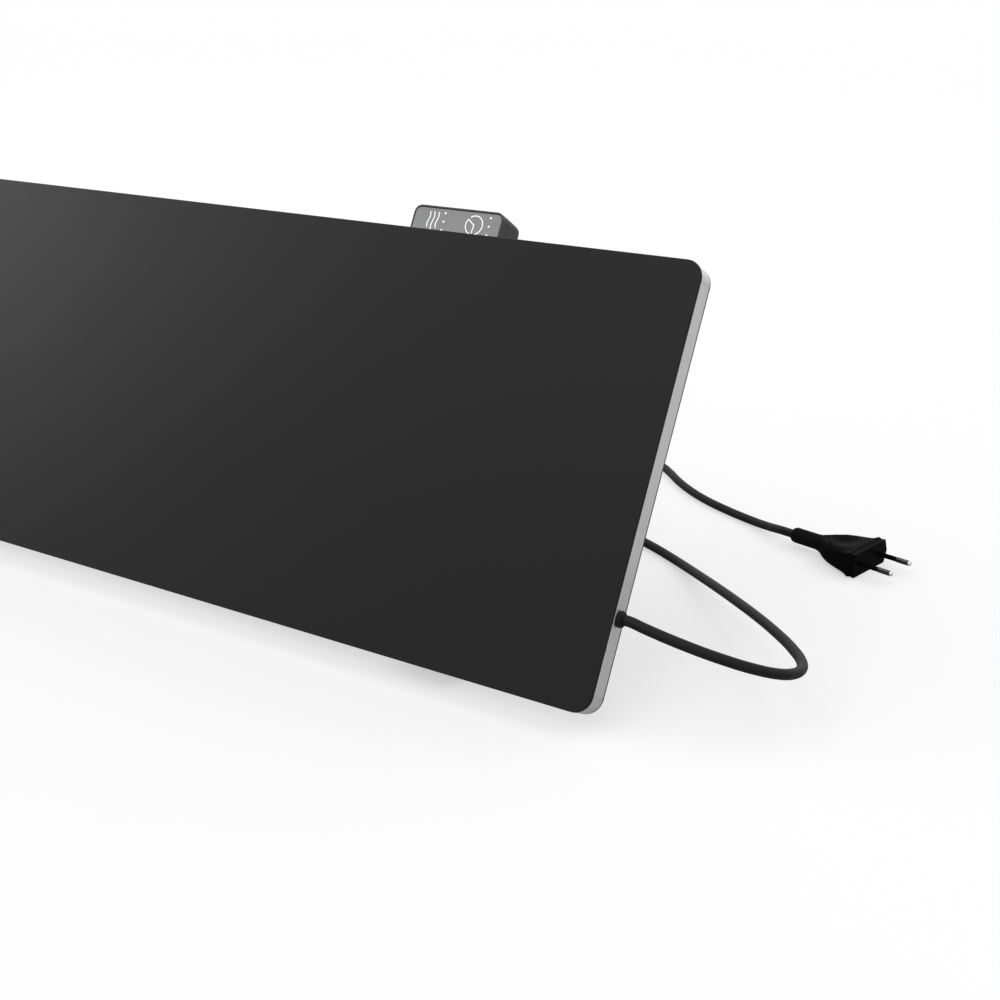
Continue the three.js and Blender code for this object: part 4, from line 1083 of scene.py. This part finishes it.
for part in frame["record"]["subparts"]:
    wear(frame["nodes"][part["node"]], looks[part["material_slot"]])
for name in ("frame_left", "frame_right"):
    wear(frame["nodes"][name], side_silver)
wear(cord, looks["cord_black"])
wear(gland, looks["rubber"])
wear(plug, plug_look)
for pin in pins:
    wear(pin, looks["nickel_pin"] if "pin" in pin.name else plug_look)
for symbol in symbols:
    wear(symbol, print_painted_glow_look)
wear(case_liner, looks["dark_plastic"])
# The corner liners wear the darker silver of painted shade
for liner in corner_liners:
    wear(liner, seam_silver)


# Edges: CAD nodes get joined facets, small rounded edges and shading by angle


def shading_group():
    """Nodes that shade a mesh smooth, except over edges above the facet angle."""
    group = bpy.data.node_groups.new("shade_by_angle", "GeometryNodeTree")
    group.interface.new_socket("Geometry", in_out="INPUT", socket_type="NodeSocketGeometry")
    group.interface.new_socket("Geometry", in_out="OUTPUT", socket_type="NodeSocketGeometry")
    start = group.nodes.new("NodeGroupInput")
    end = group.nodes.new("NodeGroupOutput")
    plain = group.nodes.new("GeometryNodeRemoveAttribute")
    plain.inputs["Name"].default_value = "custom_normal"
    smooth = group.nodes.new("GeometryNodeSetShadeSmooth")
    smooth.domain = "FACE"
    smooth.inputs["Shade Smooth"].default_value = True
    angle = group.nodes.new("GeometryNodeInputMeshEdgeAngle")
    compare = group.nodes.new("FunctionNodeCompare")
    compare.data_type = "FLOAT"
    compare.operation = "GREATER_THAN"
    compare.inputs["B"].default_value = facet_angle
    sharp = group.nodes.new("GeometryNodeSetShadeSmooth")
    sharp.domain = "EDGE"
    sharp.inputs["Shade Smooth"].default_value = False
    link = group.links.new
    link(start.outputs["Geometry"], plain.inputs["Geometry"])
    link(plain.outputs["Geometry"], smooth.inputs["Geometry"])
    link(smooth.outputs["Geometry"], sharp.inputs["Geometry"])
    link(angle.outputs["Unsigned Angle"], compare.inputs["A"])
    link(compare.outputs["Result"], sharp.inputs["Selection"])
    link(sharp.outputs["Geometry"], end.inputs["Geometry"])
    return group


facet_angle = math.radians(32)
edge_shading = shading_group()

# By the start of a node's name: the longest that fits counts
edge_rounds = {
    "control_case": 0.25 * mm,
    "leg_": 0.4 * mm,
    "leg_shoe": 0.7 * mm,
    "leg_bracket": 0.25 * mm,
    "front_foot": 0.9 * mm,
    "rear_cover": 0.15 * mm,
    "frame_": 0.12 * mm,
}
weld_distance = 0.002 * mm
round_steps = 3
round_from_angle = math.radians(40)


def dress_edges(node):
    """Joins a CAD node's facets, then rounds and shades its edges."""
    weld = node.modifiers.new("weld", "WELD")
    weld.merge_threshold = weld_distance
    names = [name for name in edge_rounds if node.name.startswith(name)]
    if names:
        bevel = node.modifiers.new("rounded_edges", "BEVEL")
        bevel.width = edge_rounds[max(names, key=len)]
        bevel.segments = round_steps
        bevel.limit_method = "ANGLE"
        bevel.angle_limit = round_from_angle
    shading = node.modifiers.new("shading", "NODES")
    shading.node_group = edge_shading
    flatter = node.modifiers.new("flat_faces", "WEIGHTED_NORMAL")
    flatter.keep_sharp = True


for node in frame["nodes"].values():
    if not node.hide_render:
        dress_edges(node)

# Floor, light and surroundings

floor_reach = 20
floor_drop = 0.05 * mm
floor_color = (0.53, 0.53, 0.53)
floor_glow = 0.533
floor_mirrored_share = 0.05
world_strength = 0.45


def seen_rays(tree, mirrored):
    """1 for camera and transmitted rays, a given share for mirrored ones, 0 for the rest."""
    path = tree.nodes.new("ShaderNodeLightPath")
    in_mirrors = combine(tree, "MULTIPLY", path.outputs["Is Glossy Ray"], mirrored)
    seen = combine(tree, "MAXIMUM", path.outputs["Is Camera Ray"], in_mirrors)
    return combine(tree, "MAXIMUM", seen, path.outputs["Is Transmission Ray"])


def make_floor():
    """A wide pale floor just below zero, that glows evenly to the camera."""
    mesh = bpy.data.meshes.new("floor")
    signs = [(-1, -1), (1, -1), (1, 1), (-1, 1)]
    corners = [(x * floor_reach, y * floor_reach, 0) for x, y in signs]
    mesh.from_pydata(corners, [], [(0, 1, 2, 3)])
    floor = bpy.data.objects.new("floor", mesh)
    bpy.context.scene.collection.objects.link(floor)
    floor.location.z = -floor_drop
    look = new_look("floor", floor_color, roughness=0.9, specular=0.1)
    glow = new_node(look, "ShaderNodeEmission")
    glow.inputs["Color"].default_value = (1, 1, 1, 1)
    seen = seen_rays(look.node_tree, floor_mirrored_share)
    strength = combine(look.node_tree, "MULTIPLY", seen, floor_glow)
    join_nodes(look, strength, glow.inputs["Strength"])
    total = new_node(look, "ShaderNodeAddShader")
    join_nodes(look, shader_of(look).outputs["BSDF"], total.inputs[0])
    join_nodes(look, glow.outputs["Emission"], total.inputs[1])
    output = look.node_tree.nodes["Material Output"]
    join_nodes(look, total.outputs["Shader"], output.inputs["Surface"])
    floor.data.materials.append(look)


def make_world():
    """White surroundings to the eye, and dimmer ones as a light."""
    world = bpy.data.worlds.new("studio")
    world.use_nodes = True
    tree = world.node_tree
    lighting = tree.nodes["Background"]
    lighting.inputs["Color"].default_value = (1, 1, 1, 1)
    lighting.inputs["Strength"].default_value = world_strength
    seen = tree.nodes.new("ShaderNodeBackground")
    seen.inputs["Color"].default_value = (1, 1, 1, 1)
    seen.inputs["Strength"].default_value = 1
    mix = tree.nodes.new("ShaderNodeMixShader")
    tree.links.new(seen_rays(tree, 1), mix.inputs["Fac"])
    tree.links.new(lighting.outputs["Background"], mix.inputs[1])
    tree.links.new(seen.outputs["Background"], mix.inputs[2])
    tree.links.new(mix.outputs["Shader"], tree.nodes["World Output"].inputs["Surface"])
    bpy.context.scene.world = world


def add_softbox(name, power, size, place, target):
    """A large square soft light that faces a place on the heater."""
    box_data = bpy.data.lights.new(name, "AREA")
    box_data.energy = power
    box_data.size = size
    box = bpy.data.objects.new(name, box_data)
    bpy.context.scene.collection.objects.link(box)
    box.location = place
    box.rotation_euler = (Vector(target) - Vector(place)).to_track_quat("-Z", "Y").to_euler()


def add_sun(name, strength, softness, azimuth, elevation):
    """A soft light from far away: azimuth 0 shines along +Y, 90 along -X."""
    sun_data = bpy.data.lights.new(name, "SUN")
    sun_data.energy = strength
    sun_data.angle = math.radians(softness)
    sun = bpy.data.objects.new(name, sun_data)
    bpy.context.scene.collection.objects.link(sun)
    turn = math.radians(azimuth)
    rise = math.radians(elevation)
    sun.rotation_euler = (math.pi / 2 - rise, 0, turn)
    return sun


make_floor()
make_world()
add_sun("key_light", strength=0.65, softness=60, azimuth=-36, elevation=62)
back_light = add_sun("back_light", strength=0.85, softness=60, azimuth=135, elevation=45)
back_light.visible_glossy = False
add_softbox(
    "left_softbox", power=7.5, size=1, place=(-1.9, -0.75, 1.1), target=(0, 0, 0.1),
)
bpy.context.scene.view_settings.view_transform = "Standard"

bpy.context.view_layer.update()
